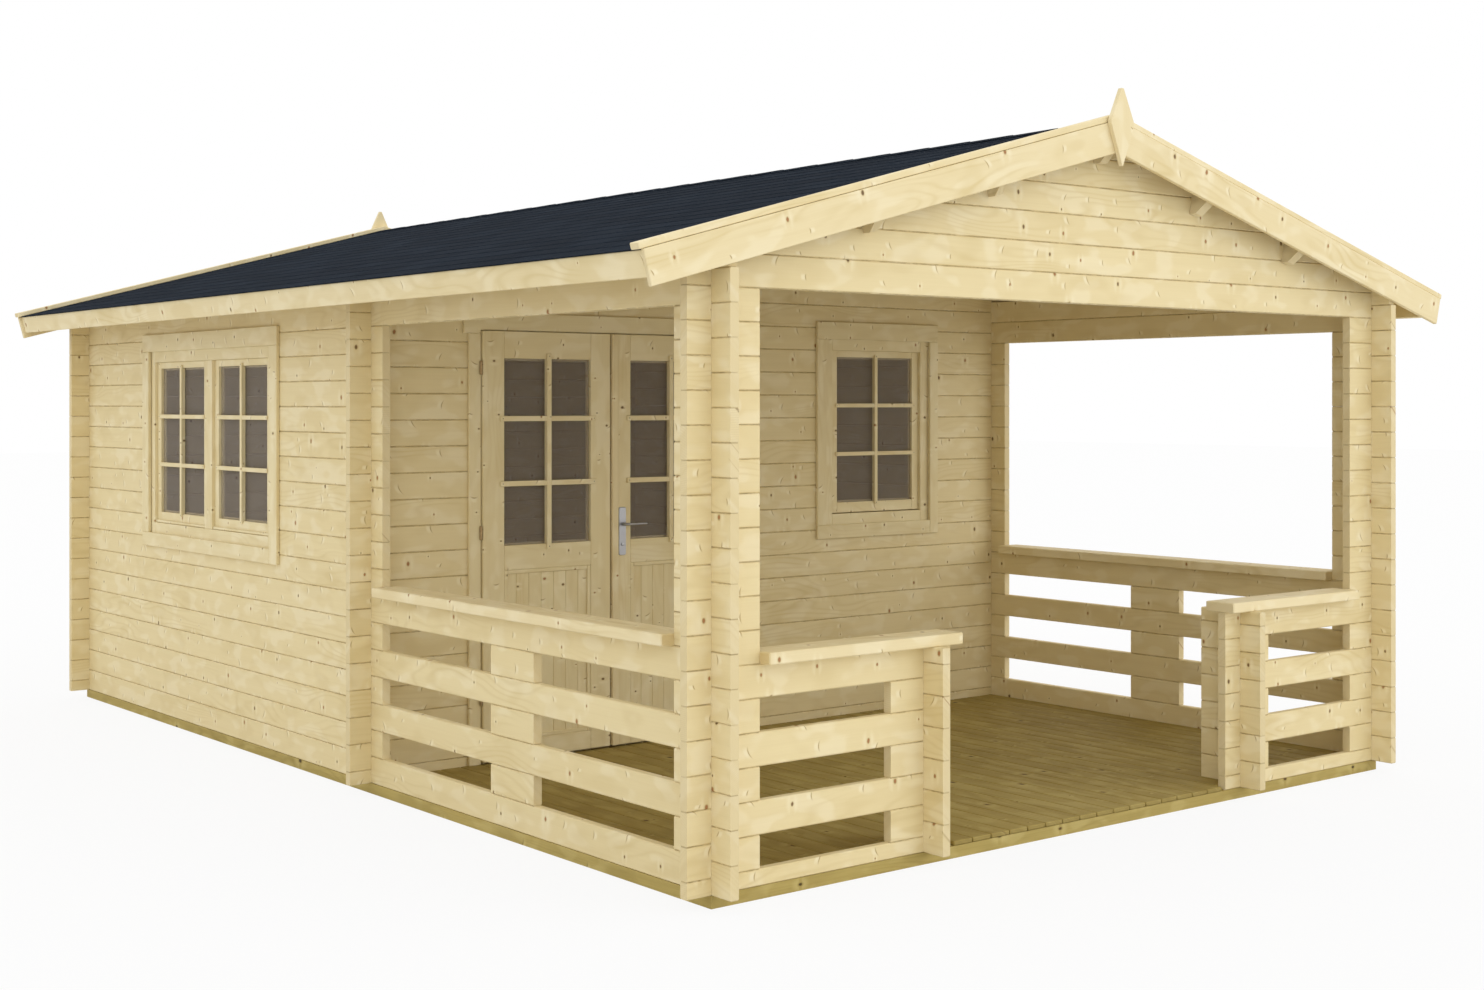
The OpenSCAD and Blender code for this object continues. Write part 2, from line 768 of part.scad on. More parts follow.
// The right leaf: two stiles, three rails and a boarded panel
module leaf(bored) {
  from = leaf_play / 2;
  rail_w = leaf_w - 2 * leaf_stile - 2 * joint_gap;
  rail_x = from + leaf_stile + joint_gap;
  mid_z = leaf_z + bottom_rail_h + panel_h;
  difference() {
    for (x = [from, from + leaf_w - leaf_stile])
      translate([x, leaf_front, leaf_z]) cube([leaf_stile, leaf_t, leaf_h]);
    if (bored)
      translate([lever_x, leaf_back + 1, leaf_z + lever_up])
        rotate([90, 0, 0]) cylinder(h = leaf_t + 2, r = spindle_r + 1);
  }
  translate([rail_x, leaf_front, leaf_z]) cube([rail_w, leaf_t, bottom_rail_h]);
  translate([rail_x, leaf_front, mid_z]) cube([rail_w, leaf_t, mid_rail_h]);
  translate([rail_x, leaf_front, leaf_z + leaf_h - top_rail_h]) cube([rail_w, leaf_t, top_rail_h]);
  translate([rail_x, leaf_front + (leaf_t - panel_t) / 2, leaf_z + bottom_rail_h + joint_gap])
    cube([rail_w, panel_t, panel_h - 2 * joint_gap]);
}

module leaf_glass() {
  low = leaf_z + bottom_rail_h + panel_h + mid_rail_h + seat_gap;
  high = leaf_z + leaf_h - top_rail_h - seat_gap;
  translate([leaf_play / 2 + leaf_stile + seat_gap, leaf_front + (leaf_t - glass_t) / 2, low])
    cube([leaf_w - 2 * leaf_stile - 2 * seat_gap, glass_t, high - low]);
}

module left_door_leaf() { color(joinery) in_doorway() mirror([1, 0, 0]) leaf(false); }
module left_door_glass() { color(pane) in_doorway() mirror([1, 0, 0]) leaf_glass(); }
module left_door_hinges() { color(steel) in_doorway() mirror([1, 0, 0]) leaf_hinges(); }
module right_door_leaf() { color(joinery) in_doorway() leaf(true); }
module right_door_glass() { color(pane) in_doorway() leaf_glass(); }
module right_door_hinges() { color(steel) in_doorway() leaf_hinges(); }

module meeting_strip() {
  color(spruce) in_doorway()
    translate([leaf_play / 2, leaf_front - meeting_strip_t, leaf_z])
      cube([meeting_strip_w, meeting_strip_t - seat_gap, leaf_h]);
}

// Lever handle: a plate on each face, and two levers on one spindle through the stile
lever_x = leaf_play / 2 + meeting_strip_w + plate_gap + plate_w / 2;
lever_z = leaf_z + lever_up;
plate_low = lever_z - plate_h * plate_share;

module handle_plates() {
  color(steel) in_doorway()
    for (y = [leaf_front - plate_t - seat_gap, leaf_back + seat_gap])
      difference() {
        translate([lever_x - plate_w / 2, y, plate_low]) cube([plate_w, plate_t, plate_h]);
        translate([lever_x, y - 1, lever_z]) rotate([-90, 0, 0]) cylinder(h = plate_t + 2, r = neck_r + 0.5);
      }
}

module door_lever() {
  color(steel) in_doorway() translate([lever_x, 0, lever_z]) {
    translate([0, leaf_front - lever_out, 0])
      rotate([-90, 0, 0]) cylinder(h = leaf_t + 2 * lever_out, r = spindle_r);
    for (y = [leaf_front - lever_out, leaf_back + lever_out]) {
      inward = y < leaf_front ? 1 : -1;
      translate([0, y, 0]) rotate([-90 * inward, 0, 0]) cylinder(h = lever_out - 1, r = neck_r);
      translate([0, y, 0]) rotate([0, 90, 0]) cylinder(h = lever_l - 2 * grip_r, r = grip_r);
      for (x = [0, lever_l - 2 * grip_r]) translate([x, y, 0]) sphere(r = grip_r);
    }
  }
}

base_frame();
veranda_deck();
cabin_floor();
left_wall();
right_wall();
back_wall();
back_gable();
door_wall_left();
door_wall_right();
door_wall_gable();
front_gable();
wall_plates();
front_left_post();
front_right_post();
left_railing();
right_railing();
front_left_railing();
front_right_railing();
handrails();
purlins();
left_roof_boards();
right_roof_boards();
left_shingles();
right_shingles();
eave_fascias();
bargeboards();
cover_strips();
finials();
side_window_trim();
side_window_frame();
side_window_sashes();
side_window_glass();
front_window_trim();
front_window_frame();
front_window_sash();
front_window_glass();
door_trim();
door_frame();
hinge_pins();
left_door_leaf();
left_door_glass();
left_door_hinges();
right_door_leaf();
right_door_glass();
right_door_hinges();
meeting_strip();
handle_plates();
door_lever();
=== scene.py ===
import math

import bmesh
import bpy
import numpy as np
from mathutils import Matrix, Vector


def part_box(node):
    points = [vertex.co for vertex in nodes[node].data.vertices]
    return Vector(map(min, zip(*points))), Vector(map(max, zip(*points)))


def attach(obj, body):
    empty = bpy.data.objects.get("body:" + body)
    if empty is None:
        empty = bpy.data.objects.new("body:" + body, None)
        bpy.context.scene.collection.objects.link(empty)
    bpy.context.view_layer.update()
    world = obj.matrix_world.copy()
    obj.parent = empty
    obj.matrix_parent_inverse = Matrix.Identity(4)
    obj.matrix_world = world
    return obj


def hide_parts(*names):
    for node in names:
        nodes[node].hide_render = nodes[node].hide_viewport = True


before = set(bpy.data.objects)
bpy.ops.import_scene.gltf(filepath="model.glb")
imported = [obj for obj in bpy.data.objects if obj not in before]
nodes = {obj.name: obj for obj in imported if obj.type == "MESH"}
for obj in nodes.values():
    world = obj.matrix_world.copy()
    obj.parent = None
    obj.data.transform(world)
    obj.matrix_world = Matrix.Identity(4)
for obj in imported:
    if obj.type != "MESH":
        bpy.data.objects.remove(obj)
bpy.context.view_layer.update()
dice = np.random.default_rng(41)
print("frame:", len(nodes), "CAD nodes")

# lines of the building that the pieces share, in metres
house = dict(sideX=2.0, frontY=-3.03, doorY=-0.55, logT=0.038, baseZ=0.046, course=0.12,
             ridgeZ=2.86738, pitch=math.radians(15.2), roofU=2.4325, roofY=3.125)
sides = ((-1, "left"), (1, "right"))
joinGap, seat = 0.0004, 0.0003  # between two boards, and behind a piece that lies on another


# materials: sockets that do sums, then one wood recipe fed by different grain sources
def sums(kind):
    return lambda self, *others: self.to(kind, *others)


class Wire:  # an output socket that can be added, multiplied and so on
    def __init__(self, tree, socket):
        self.tree, self.socket = tree, socket

    def to(self, kind, *others):
        node = self.tree.nodes.new("ShaderNodeMath")
        node.operation = kind
        for spot, value in zip(node.inputs, (self,) + others):
            plug(self.tree, value, spot)
        return Wire(self.tree, node.outputs[0])

    __add__, __sub__, __mul__, __truediv__ = map(sums, ("ADD", "SUBTRACT", "MULTIPLY", "DIVIDE"))
    near, under, over, most = map(sums, ("COMPARE", "LESS_THAN", "GREATER_THAN", "MAXIMUM"))
    floor, size, root = map(sums, ("FLOOR", "ABSOLUTE", "SQRT"))

    def sine(self):
        return self.to("SINE") * 0.5 + 0.5

    def flip(self):
        return (self * -1.0) + 1.0


def plug(tree, value, spot):
    if isinstance(value, Wire):
        tree.links.new(value.socket, spot)
    else:
        spot.default_value = value


def opaque(colour):  # plain numbers get a fourth one
    return colour + (1.0,) if isinstance(colour, tuple) else colour


class Sheet:  # the nodes of one material, or of the world
    def __init__(self, name, kind="materials"):
        self.owner = getattr(bpy.data, kind).new(name)
        self.owner.use_nodes = True
        self.tree = self.owner.node_tree
        self.tree.nodes.clear()

    def node(self, kind, **values):  # names with a capital are inputs, the others are settings
        made = self.tree.nodes.new(kind)
        for name, value in values.items():
            if name[0].isupper():
                plug(self.tree, value, made.inputs[name.replace("_", " ")])
            else:
                setattr(made, name, value)
        return made

    def out(self, node, name):
        return Wire(self.tree, node.outputs[name])

    def split(self, vector):
        node = self.node("ShaderNodeSeparateXYZ")
        plug(self.tree, vector, node.inputs[0])
        return [Wire(self.tree, s) for s in node.outputs]

    def join(self, x, y, z):
        node = self.node("ShaderNodeCombineXYZ")
        for value, spot in zip((x, y, z), node.inputs):
            plug(self.tree, value, spot)
        return Wire(self.tree, node.outputs[0])

    def place(self, output="Object"):  # position in the piece's own frame, or its normal
        return self.split(self.out(self.node("ShaderNodeTexCoord"), output))

    def attribute(self, name, output="Fac"):
        return self.out(self.node("ShaderNodeAttribute", attribute_name=name), output)

    def noise(self, x, y, z, detail=2.0, rough=0.5):
        place = self.join(x, y, z)
        node = self.node("ShaderNodeTexNoise", Vector=place, Scale=1.0, Detail=detail, Roughness=rough)
        return self.out(node, "Fac")

    def speckle(self, level, up, *others):  # noise fixed to the piece: its scale in X and Y, and in Z
        x, y, z = self.place()
        return self.noise(x * level, y * level, z * up, *others)

    def dots(self, x, y):  # scattered cell points: their place and three random numbers each
        node = self.node("ShaderNodeTexVoronoi", voronoi_dimensions="2D", Vector=self.join(x, y, 0.0), Scale=1.0,
                         Randomness=0.9)
        return self.split(self.out(node, "Position"))[:2], self.split(self.out(node, "Color"))

    def lots(self, x, y, z):  # random numbers that belong to one log or board
        node = self.node("ShaderNodeTexWhiteNoise", noise_dimensions="3D", Vector=self.join(x, y, z))
        return self.split(self.out(node, "Color"))

    def ease(self, value, low, high):  # 0 at low, 1 at high, smooth between
        node = self.node("ShaderNodeMapRange", interpolation_type="SMOOTHSTEP", Value=value, From_Min=low,
                         From_Max=high)
        return self.out(node, "Result")

    def mix(self, share, first, second):
        node = self.node("ShaderNodeMix", data_type="RGBA")
        for spot, value in ((0, share), (6, opaque(first)), (7, opaque(second))):
            plug(self.tree, value, node.inputs[spot])
        return Wire(self.tree, node.outputs[2])

    def blend(self, share, first, second):  # two shaders
        node = self.node("ShaderNodeMixShader")
        plug(self.tree, share, node.inputs[0])
        for spot, shader in ((1, first), (2, second)):
            self.tree.links.new(shader.outputs[0], node.inputs[spot])
        return node

    def close(self, shader, kind="ShaderNodeOutputMaterial"):
        self.tree.links.new(shader.outputs[0], self.node(kind).inputs["Surface"])
        return self.owner

    def finish(self, colour, roughness, height, relief, bumpiness, **sockets):
        bump = self.node("ShaderNodeBump", Strength=bumpiness, Distance=relief, Height=height)
        return self.close(self.node("ShaderNodeBsdfPrincipled", Base_Color=opaque(colour), Roughness=roughness,
                                    Normal=self.out(bump, "Normal"), **sockets))


# noise in the wood: its scale along, across and into the grain, then detail and roughness
grainNoise = dict(
    wander=(0.7, 6.0, 9.0), ragged=(90.0, 90.0, 1.0), fine=(3.0, 190.0, 190.0, 3.0, 0.6), broad=(0.55, 24.0, 24.0),
    flame=(1.6, 7.0, 5.0, 1.0), flamePlace=(0.8, 2.5, 17.0, 1.0), patch=(1.3, 3.5, 31.0, 1.0),
    bright=(6.0, 12.0, 7.0, 1.0), dull=(4.0, 9.0, 11.0, 1.0))
# where each mark begins to show and where it is full
fade = dict(
    core=(1.0, 0.68), rim=(1.5, 0.9), halo=(5.0, 0.8), flareFar=(6.0, 2.0), flareNear=(1.1, 2.4),
    flareSide=(0.6, 2.0), flame=(0.46, 0.6), patch=(0.4, 0.75), bright=(0.51, 0.63), dull=(0.52, 0.68),
    streak=(0.34, 0.7), strokeLight=(0.015, 0.004), strokeDark=(0.0042, 0.0008))
# sizes and strengths that all the woods share
mark = dict(
    leastKnot=0.35, ragged=0.6, wander=0.016, swirl=1.5, flameFolds=55.0, flameRings=1.8, fineShare=0.45,
    dullShift=7.75, strokesAcross=8.3, strokeShift=(17.3, 5.1), slant=1.2, bow=14.0, strokeReach=0.022,
    strokeLeast=0.008, strokeTaper=0.003, lightBeside=0.011, knotCover=0.92, heart=0.03, endRings=1100.0,
    endWander=14.0, endCover=0.35, fineHeight=0.45, flameHeight=0.25, knotDip=0.5, roughSpread=0.12)


def wood(name, look, source):
    # Streaks are noise stretched along the grain. Knots sit at scattered points, and the grain bends round them.
    # Slanted strokes, dark beside light, show where a branch was sawn along its length.
    s, m = Sheet(name), mark
    along, across, through, tone, ends, seam = source(s)

    def weave(kind, a, b, c):
        scaleA, scaleB, scaleC, *others = grainNoise[kind]
        return s.noise(a * scaleA, b * scaleB, c * scaleC, *others)

    def shows(kind, value):
        return s.ease(value, *fade[kind])

    wander = weave("wander", along, across, tone) - 0.5
    (knotX, knotY), (pick, grow, hue) = s.dots(along * look["knotsAlong"], across * look["knotsAcross"])
    dx = along - knotX / look["knotsAlong"]
    dy = across - knotY / look["knotsAcross"]
    away = (dx * dx * look["knotLength"] + dy * dy).root()
    radius = grow * look["knotSize"] + look["knotSize"] * m["leastKnot"]
    kept = pick.under(look["knotShare"])
    edge = (away + (weave("ragged", along, across, tone) - 0.5) * radius * m["ragged"]) / radius
    core, rim = shows("core", edge) * kept, shows("rim", edge) * kept
    halo = shows("halo", away / radius) * kept
    bent = across + wander * m["wander"] + halo * dy / (away + radius) * radius * m["swirl"]

    fine, broad = weave("fine", along, bent, through), weave("broad", along, bent, through)
    flame = (weave("flame", along, bent, tone) * m["flameFolds"] + bent * (m["flameRings"] / look["ringGap"])).sine()
    flame = flame * flame * flame * shows("flame", weave("flamePlace", along, across, tone))
    streak = shows("streak", fine * m["fineShare"] + broad * (1 - m["fineShare"]))
    patch = shows("patch", weave("patch", along, across, tone))
    bright = shows("bright", weave("bright", along, across, tone))
    dull = shows("dull", weave("dull", along + m["dullShift"], across, tone))
    colour = s.mix(streak * look["grainDepth"], look["pale"], look["deep"])
    colour = s.mix(patch * look["patchDepth"], colour, look["warm"])
    colour = s.mix(tone * look["toneDepth"], colour, look["shadeTone"])
    colour = s.mix(bright * look["bright"], colour, look["light"])
    colour = s.mix(dull * look["dull"] + flame * look["flame"], colour, look["deep"])

    scaleX, scaleY, (shiftX, shiftY) = look["strokesAlong"], m["strokesAcross"], m["strokeShift"]
    (strokeX, strokeY), (slant, reach, there) = s.dots(along * scaleX + shiftX, across * scaleY + shiftY)
    sx = along - (strokeX - shiftX) / scaleX
    sy = across - (strokeY - shiftY) / scaleY
    lean = sx - sy * ((slant - 0.5) * m["slant"]) - sy * sy * m["bow"]
    span = s.ease(sy.size(), reach * m["strokeReach"] + m["strokeLeast"], m["strokeTaper"])
    span = span * there.under(look["strokeShare"])
    beside = shows("strokeLight", (lean + m["lightBeside"]).size())
    colour = s.mix(beside * span * look["strokeLight"], colour, look["light"])
    colour = s.mix(shows("strokeDark", lean.size()) * span * look["strokeDark"], colour, look["knotRim"])

    flare = shows("flareFar", away / radius) * shows("flareNear", away / radius)
    flare = flare * shows("flareSide", dx.size() / radius) * kept
    colour = s.mix(flare * look["flare"], colour, look["light"])
    colour = s.mix(rim * look["rim"], colour, look["knotRim"])
    knot = s.mix(hue.over(look["redShare"]), look["knotRed"], look["knotDark"])
    colour = s.mix(core * m["knotCover"], colour, knot)
    inside = through - m["heart"]
    rings = ((across * across + inside * inside).root() * m["endRings"] + wander * m["endWander"]).sine()
    colour = s.mix(ends * (rings * m["endCover"] + m["endCover"]), colour, look["endGrain"])
    if seam is not None:
        colour = s.mix(seam, colour, look["seam"])
    height = fine * m["fineHeight"] + flame * m["flameHeight"] - core * m["knotDip"]
    rough = (fine - 0.5) * m["roughSpread"] + look["rough"]
    return s.finish(colour, rough, height, look["relief"], look["bumpiness"], Specular_IOR_Level=look["gloss"])


def boardGrain(s):  # boards carry their own grain, tone and end marks
    along, across, through = s.split(s.attribute("grain", "Vector"))
    return along, across + through, through, s.attribute("tone"), s.attribute("endGrain"), None


# railings and end posts of the veranda: where the logs turn, and the gaps where no seam is drawn
railing = dict(postX=0.97, postY=-2.8, postZ=0.83, sideY=-1.735, sideReach=1.08, pier=0.16, sideZ=0.9,
               frontX=1.4705, frontReach=0.3145, frontY=-2.85, frontZ=0.84)
logMarks = dict(faceReach=0.0007, planes=4.0, planeShift=0.3, alongShift=40.0, acrossShift=20.0, endFacing=0.6,
                dashes=(16.0, 7.3, 2.1, 5.0), dashShow=(0.32, 0.64), seamReach=(0.0038, 0.0012), seamDepth=0.6,
                flat=0.9)
beamMarks = dict(outerX=1.9296, planes=3.0, planeShift=0.35, alongShift=30.0, acrossShift=9.0, draw=2.0)
purlinMarks = dict(planes=2.0, planeShift=0.5, alongShift=30.0, depth=0.2, draw=(5.0, 1.0))


def turnedEnds(nx, ny, side):  # 1 on the sawn ends, where side is 1 for what runs along Y
    return (nx.size() + (ny.size() - nx.size()) * side).over(logMarks["endFacing"])


def logGrain(s):
    # Side logs run along Y and end logs along X, half a course apart. The seam darkens in dashes at each course line.
    (x, y, z), (nx, ny, nz) = s.place(), s.place("Normal")
    m, r, half = logMarks, railing, house["course"] / 2
    reach = house["logT"] / 2 + m["faceReach"]
    postLog = x.size().near(r["postX"], reach) * y.under(r["postY"]) * z.under(r["postZ"])
    side = x.size().near(house["sideX"] - house["logT"] / 2, reach).most(postLog)
    run = x + (y - x) * side
    deep = y + (x - y) * side
    level = z - (house["baseZ"] + half) + side * half
    course = (level / house["course"]).floor()
    inLog = level - course * house["course"] - half
    plane = (deep * m["planes"] + m["planeShift"]).floor()
    tone, shiftA, shiftB = s.lots(course, plane, side)
    perRun, perCourse, perPlane, perSide = m["dashes"]
    dash = s.noise(run * perRun, course * perCourse + plane * perPlane, side * perSide, 3.0, 0.7)
    toLine = (inLog.size() * -1.0) + half
    alongSide = y.near(r["sideY"], r["sideReach"]) * y.near(r["sideY"], r["pier"]).flip()
    sideGap = side * z.under(r["sideZ"]) * alongSide
    alongFront = x.size().near(r["frontX"], r["frontReach"])
    frontGap = side.flip() * z.under(r["frontZ"]) * y.under(r["frontY"]) * alongFront
    seam = s.ease(toLine, *m["seamReach"]) * s.ease(dash, *m["dashShow"]) * nz.size().under(m["flat"])
    seam = seam * (sideGap + frontGap).flip() * m["seamDepth"]
    return (run + shiftA * m["alongShift"], inLog + deep + shiftB * m["acrossShift"], deep + shiftA, tone,
            turnedEnds(nx, ny, side), seam)


def beamGrain(s):  # base beams: the outer two run along Y, the rest along X
    (x, y, z), (nx, ny, _) = s.place(), s.place("Normal")
    m = beamMarks
    side = x.size().over(m["outerX"])
    run = x + (y - x) * side
    deep = y + (x - y) * side
    tone, shiftA, shiftB = s.lots((deep * m["planes"] + m["planeShift"]).floor(), side, m["draw"])
    return (run + shiftA * m["alongShift"], z + deep + shiftB * m["acrossShift"], deep, tone,
            turnedEnds(nx, ny, side), None)


def purlinGrain(s):  # purlins run along Y
    (x, y, z), (_, ny, _) = s.place(), s.place("Normal")
    m = purlinMarks
    tone, shift, _ = s.lots((x * m["planes"] + m["planeShift"]).floor(), *m["draw"])
    return y + shift * m["alongShift"], z + x, x * m["depth"], tone, ny.size().over(logMarks["endFacing"]), None


spruceLook = dict(
    pale=(0.8, 0.675, 0.388), deep=(0.695, 0.56, 0.286), warm=(0.755, 0.61, 0.315), light=(0.88, 0.785, 0.545),
    shadeTone=(0.735, 0.608, 0.342), endGrain=(0.665, 0.545, 0.31), knotDark=(0.15, 0.084, 0.034),
    knotRed=(0.37, 0.165, 0.062), knotRim=(0.43, 0.3, 0.12), seam=(0.28, 0.19, 0.072),
    knotsAlong=3.6, knotsAcross=8.5, knotLength=2.0, knotSize=0.008, knotShare=0.56, redShare=0.62,
    strokesAlong=4.4, strokeShare=0.8, strokeLight=0.65, strokeDark=0.85,
    ringGap=0.012, grainDepth=0.34, patchDepth=0.28, toneDepth=0.3, bright=0.38, dull=0.44, flame=0.5, flare=0.55,
    rim=0.65, rough=0.62, gloss=0.25, relief=0.0006, bumpiness=0.3)
joineryLook = dict(
    spruceLook, pale=(0.8, 0.69, 0.415), knotsAlong=4.6, knotsAcross=11.0, knotSize=0.0066, knotShare=0.6,
    redShare=0.35, strokeShare=0.6, grainDepth=0.32, toneDepth=0.22, flame=0.3, rough=0.55)
trimLook = dict(
    spruceLook, pale=(0.815, 0.695, 0.425), knotsAlong=3.4, knotsAcross=8.0, knotSize=0.009, knotShare=0.66,
    redShare=0.8, strokesAlong=3.0, grainDepth=0.28)
sawnLook = dict(spruceLook, pale=(0.745, 0.612, 0.345), deep=(0.63, 0.488, 0.238), rough=0.75, bumpiness=0.45)
# purlins: a darker, greyer copy of the sawn wood, painted shade for their place under the roof
shadedPurlinLook = dict(sawnLook, pale=(0.67, 0.565, 0.34), deep=(0.555, 0.445, 0.235), warm=(0.61, 0.5, 0.27))
treatedLook = dict(
    spruceLook, pale=(0.42, 0.323, 0.1), deep=(0.285, 0.207, 0.056), warm=(0.365, 0.264, 0.069),
    light=(0.485, 0.388, 0.143), shadeTone=(0.318, 0.233, 0.064), endGrain=(0.3, 0.225, 0.07),
    knotDark=(0.055, 0.035, 0.012), knotRed=(0.11, 0.055, 0.018), knotRim=(0.19, 0.125, 0.035),
    knotsAlong=2.1, knotsAcross=9.0, knotLength=0.4, knotSize=0.0075, knotShare=0.45, strokeShare=0.25, ringGap=0.015,
    grainDepth=0.75, toneDepth=0.45, rough=0.7, gloss=0.22, bumpiness=0.45)
baseLook = dict(treatedLook, pale=(0.51, 0.4, 0.135), deep=(0.35, 0.262, 0.075), warm=(0.445, 0.33, 0.092),
                light=(0.58, 0.475, 0.19), shadeTone=(0.4, 0.3, 0.088), endGrain=(0.39, 0.3, 0.098))

# new pieces: each finish pairs a slot name with the material that the pieces take
logSpruce = wood("log_spruce", spruceLook, logGrain)
planed = "planed_spruce", wood("planed_spruce", trimLook, boardGrain)
pine = "joinery_pine", wood("joinery_pine", joineryLook, boardGrain)
sawn = "sawn_spruce", wood("sawn_spruce", sawnLook, boardGrain)
# the purlins take the painted-shade copy of the sawn wood
purlinWood = wood("purlin_spruce", shadedPurlinLook, purlinGrain)
treated = "treated_wood", wood("treated_deck", treatedLook, boardGrain)
baseWood = wood("treated_base", baseLook, beamGrain)

feltLook = dict(low=(0.009, 0.0134, 0.0212), high=(0.0164, 0.0244, 0.0372), granule=(0.032, 0.045, 0.061),
                cloud=(0.0098, 0.0138, 0.0204), toneDepth=0.6, granuleDepth=0.5, cloudDepth=0.35,
                granuleShow=(0.5, 0.72), cloudShow=(0.45, 0.75), rough=0.95, gloss=0.03)
steelLook = dict(low=(0.34, 0.34, 0.35), high=(0.5, 0.5, 0.51), rough=0.24, smudged=0.18, brushed=0.1, metal=0.85)
hardwareLook = dict(wornShow=(0.4, 0.75), wornRough=0.15, metal=0.6)
# glass colours: painted shade of the dim room seen through the panes
glassLook = dict(low=(0.36, 0.308, 0.256), high=(0.405, 0.345, 0.287), rough=0.03, filmRough=0.05, alpha=0.28,
                 ior=1.3, gloss=0.05)


def shingleFinish(look):
    # Stone granules: fine noise over the tab's own shade, under broad clouds.
    s = Sheet("felt_shingle")
    grit, cloud = s.speckle(900.0, 900.0, 2.0, 0.7), s.speckle(5.0, 5.0, 3.0)
    colour = s.mix(s.attribute("tone") * look["toneDepth"], look["low"], look["high"])
    colour = s.mix(s.ease(grit, *look["granuleShow"]) * look["granuleDepth"], colour, look["granule"])
    colour = s.mix(s.ease(cloud, *look["cloudShow"]) * look["cloudDepth"], colour, look["cloud"])
    return s.finish(colour, look["rough"], grit, 0.001, 0.5, Specular_IOR_Level=look["gloss"])


def steelFinish(look):
    # Brushed along Z: noise stretched upwards in colour and roughness.
    s = Sheet("satin_steel")
    brush, smudge = s.speckle(1400.0, 40.0), s.speckle(30.0, 30.0)
    rough = smudge * look["smudged"] + brush * look["brushed"] + look["rough"]
    return s.finish(s.mix(brush, look["low"], look["high"]), rough, brush, 0.0002, 0.2, Metallic=look["metal"])


def darkMetal(name, low, high, rough):
    # Small hardware: a fine mottle between two shades.
    s, look = Sheet(name), hardwareLook
    spots, worn = s.speckle(700.0, 700.0), s.speckle(60.0, 60.0, 3.0)
    colour = s.mix(spots * 0.5 + s.ease(worn, *look["wornShow"]) * 0.5, low, high)
    return s.finish(colour, worn * look["wornRough"] + rough, spots, 0.0003, 0.3, Metallic=look["metal"])


def glassFinish(look):
    # A thin sheet: most of the light goes straight through. Its brown-grey colour is painted shade of the dim room
    # behind it. A faint film varies its shade and gloss.
    s = Sheet("window_glass")
    film = s.speckle(9.0, 4.0, 3.0)
    colour, rough = s.mix(film, look["low"], look["high"]), film * look["filmRough"] + look["rough"]
    return s.finish(colour, rough, film, 0.0004, 0.1,
                    Alpha=look["alpha"], IOR=look["ior"], Specular_IOR_Level=look["gloss"])


felt = "felt_shingle", shingleFinish(feltLook)
steel = "satin_steel", steelFinish(steelLook)
nailSteel = "satin_steel", darkMetal("nail_heads", (0.05, 0.04, 0.028), (0.12, 0.095, 0.065), 0.38)
hingeBronze = darkMetal("hinge_bronze", (0.3, 0.2, 0.09), (0.48, 0.35, 0.18), 0.34)
paneGlass = glassFinish(glassLook)
print("materials:", len(bpy.data.materials))


# shapes: one bar recipe carries a chamfered outline along each board
def barGrid(low, high, run, chamfer, ends):
    # Points of N bars as (N, 4 stations, 8 outline points, 3). The outline is a rectangle with cut corners. It is
    # drawn in at the first and last station by the end cut.
    low, high = np.minimum(low, high), np.maximum(low, high)
    first = np.stack([run, (run + 1) % 3, (run + 2) % 3], 1)
    lo, hi = np.take_along_axis(low, first, 1), np.take_along_axis(high, first, 1)
    half, mid = (hi - lo) / 2, (hi + lo) / 2
    signB = np.array([1, 1, 1, -1, -1, -1, -1, 1.0])
    signC = np.array([-1, 1, 1, 1, 1, -1, -1, -1.0])
    cutB = np.array([0, 0, 1, 1, 0, 0, 1, 1.0])
    drawn = np.stack([ends[:, 0], ends[:, 0] * 0, ends[:, 1] * 0, ends[:, 1]], 1)[:, :, None]
    outB = signB * (half[:, 1, None, None] - cutB * chamfer[:, None, None] - drawn)
    outC = signC * (half[:, 2, None, None] - (1 - cutB) * chamfer[:, None, None] - drawn)
    walk = np.stack([lo[:, 0], lo[:, 0] + ends[:, 0], hi[:, 0] - ends[:, 1], hi[:, 0]], 1)[:, :, None]
    local = np.stack([walk + outB * 0, mid[:, 1, None, None] + outB, mid[:, 2, None, None] + outC], 3)
    points = np.empty_like(local)
    np.put_along_axis(points, np.broadcast_to(first[:, None, None, :], local.shape), local, 3)
    wide = half[:, 1] >= half[:, 2]
    turned = np.where(wide[:, None, None, None], local, local[..., [0, 2, 1]])
    return points, turned


def ringFaces(shells, rings, count, start=0):
    # Each shell is a row of rings of points: quads between neighbouring rings, and one polygon on each end.
    base = start + np.arange(shells) * rings * count
    k = np.arange(count)
    step = (k + 1) % count
    low = base[:, None, None] + (np.arange(rings - 1) * count)[:, None]
    quads = np.stack([low + k, low + step, low + count + step, low + count + k], -1).reshape(-1, 4)
    caps = np.concatenate([base[:, None] + k[::-1], base[:, None] + (rings - 1) * count + k])
    return quads.tolist(), caps.tolist()


def ownTone(points):  # one random shade for each board
    tone = np.broadcast_to(dice.uniform(0, 1, (len(points), 1, 1)), points.shape[:3])
    return "tone", "FLOAT", "POINT", tone


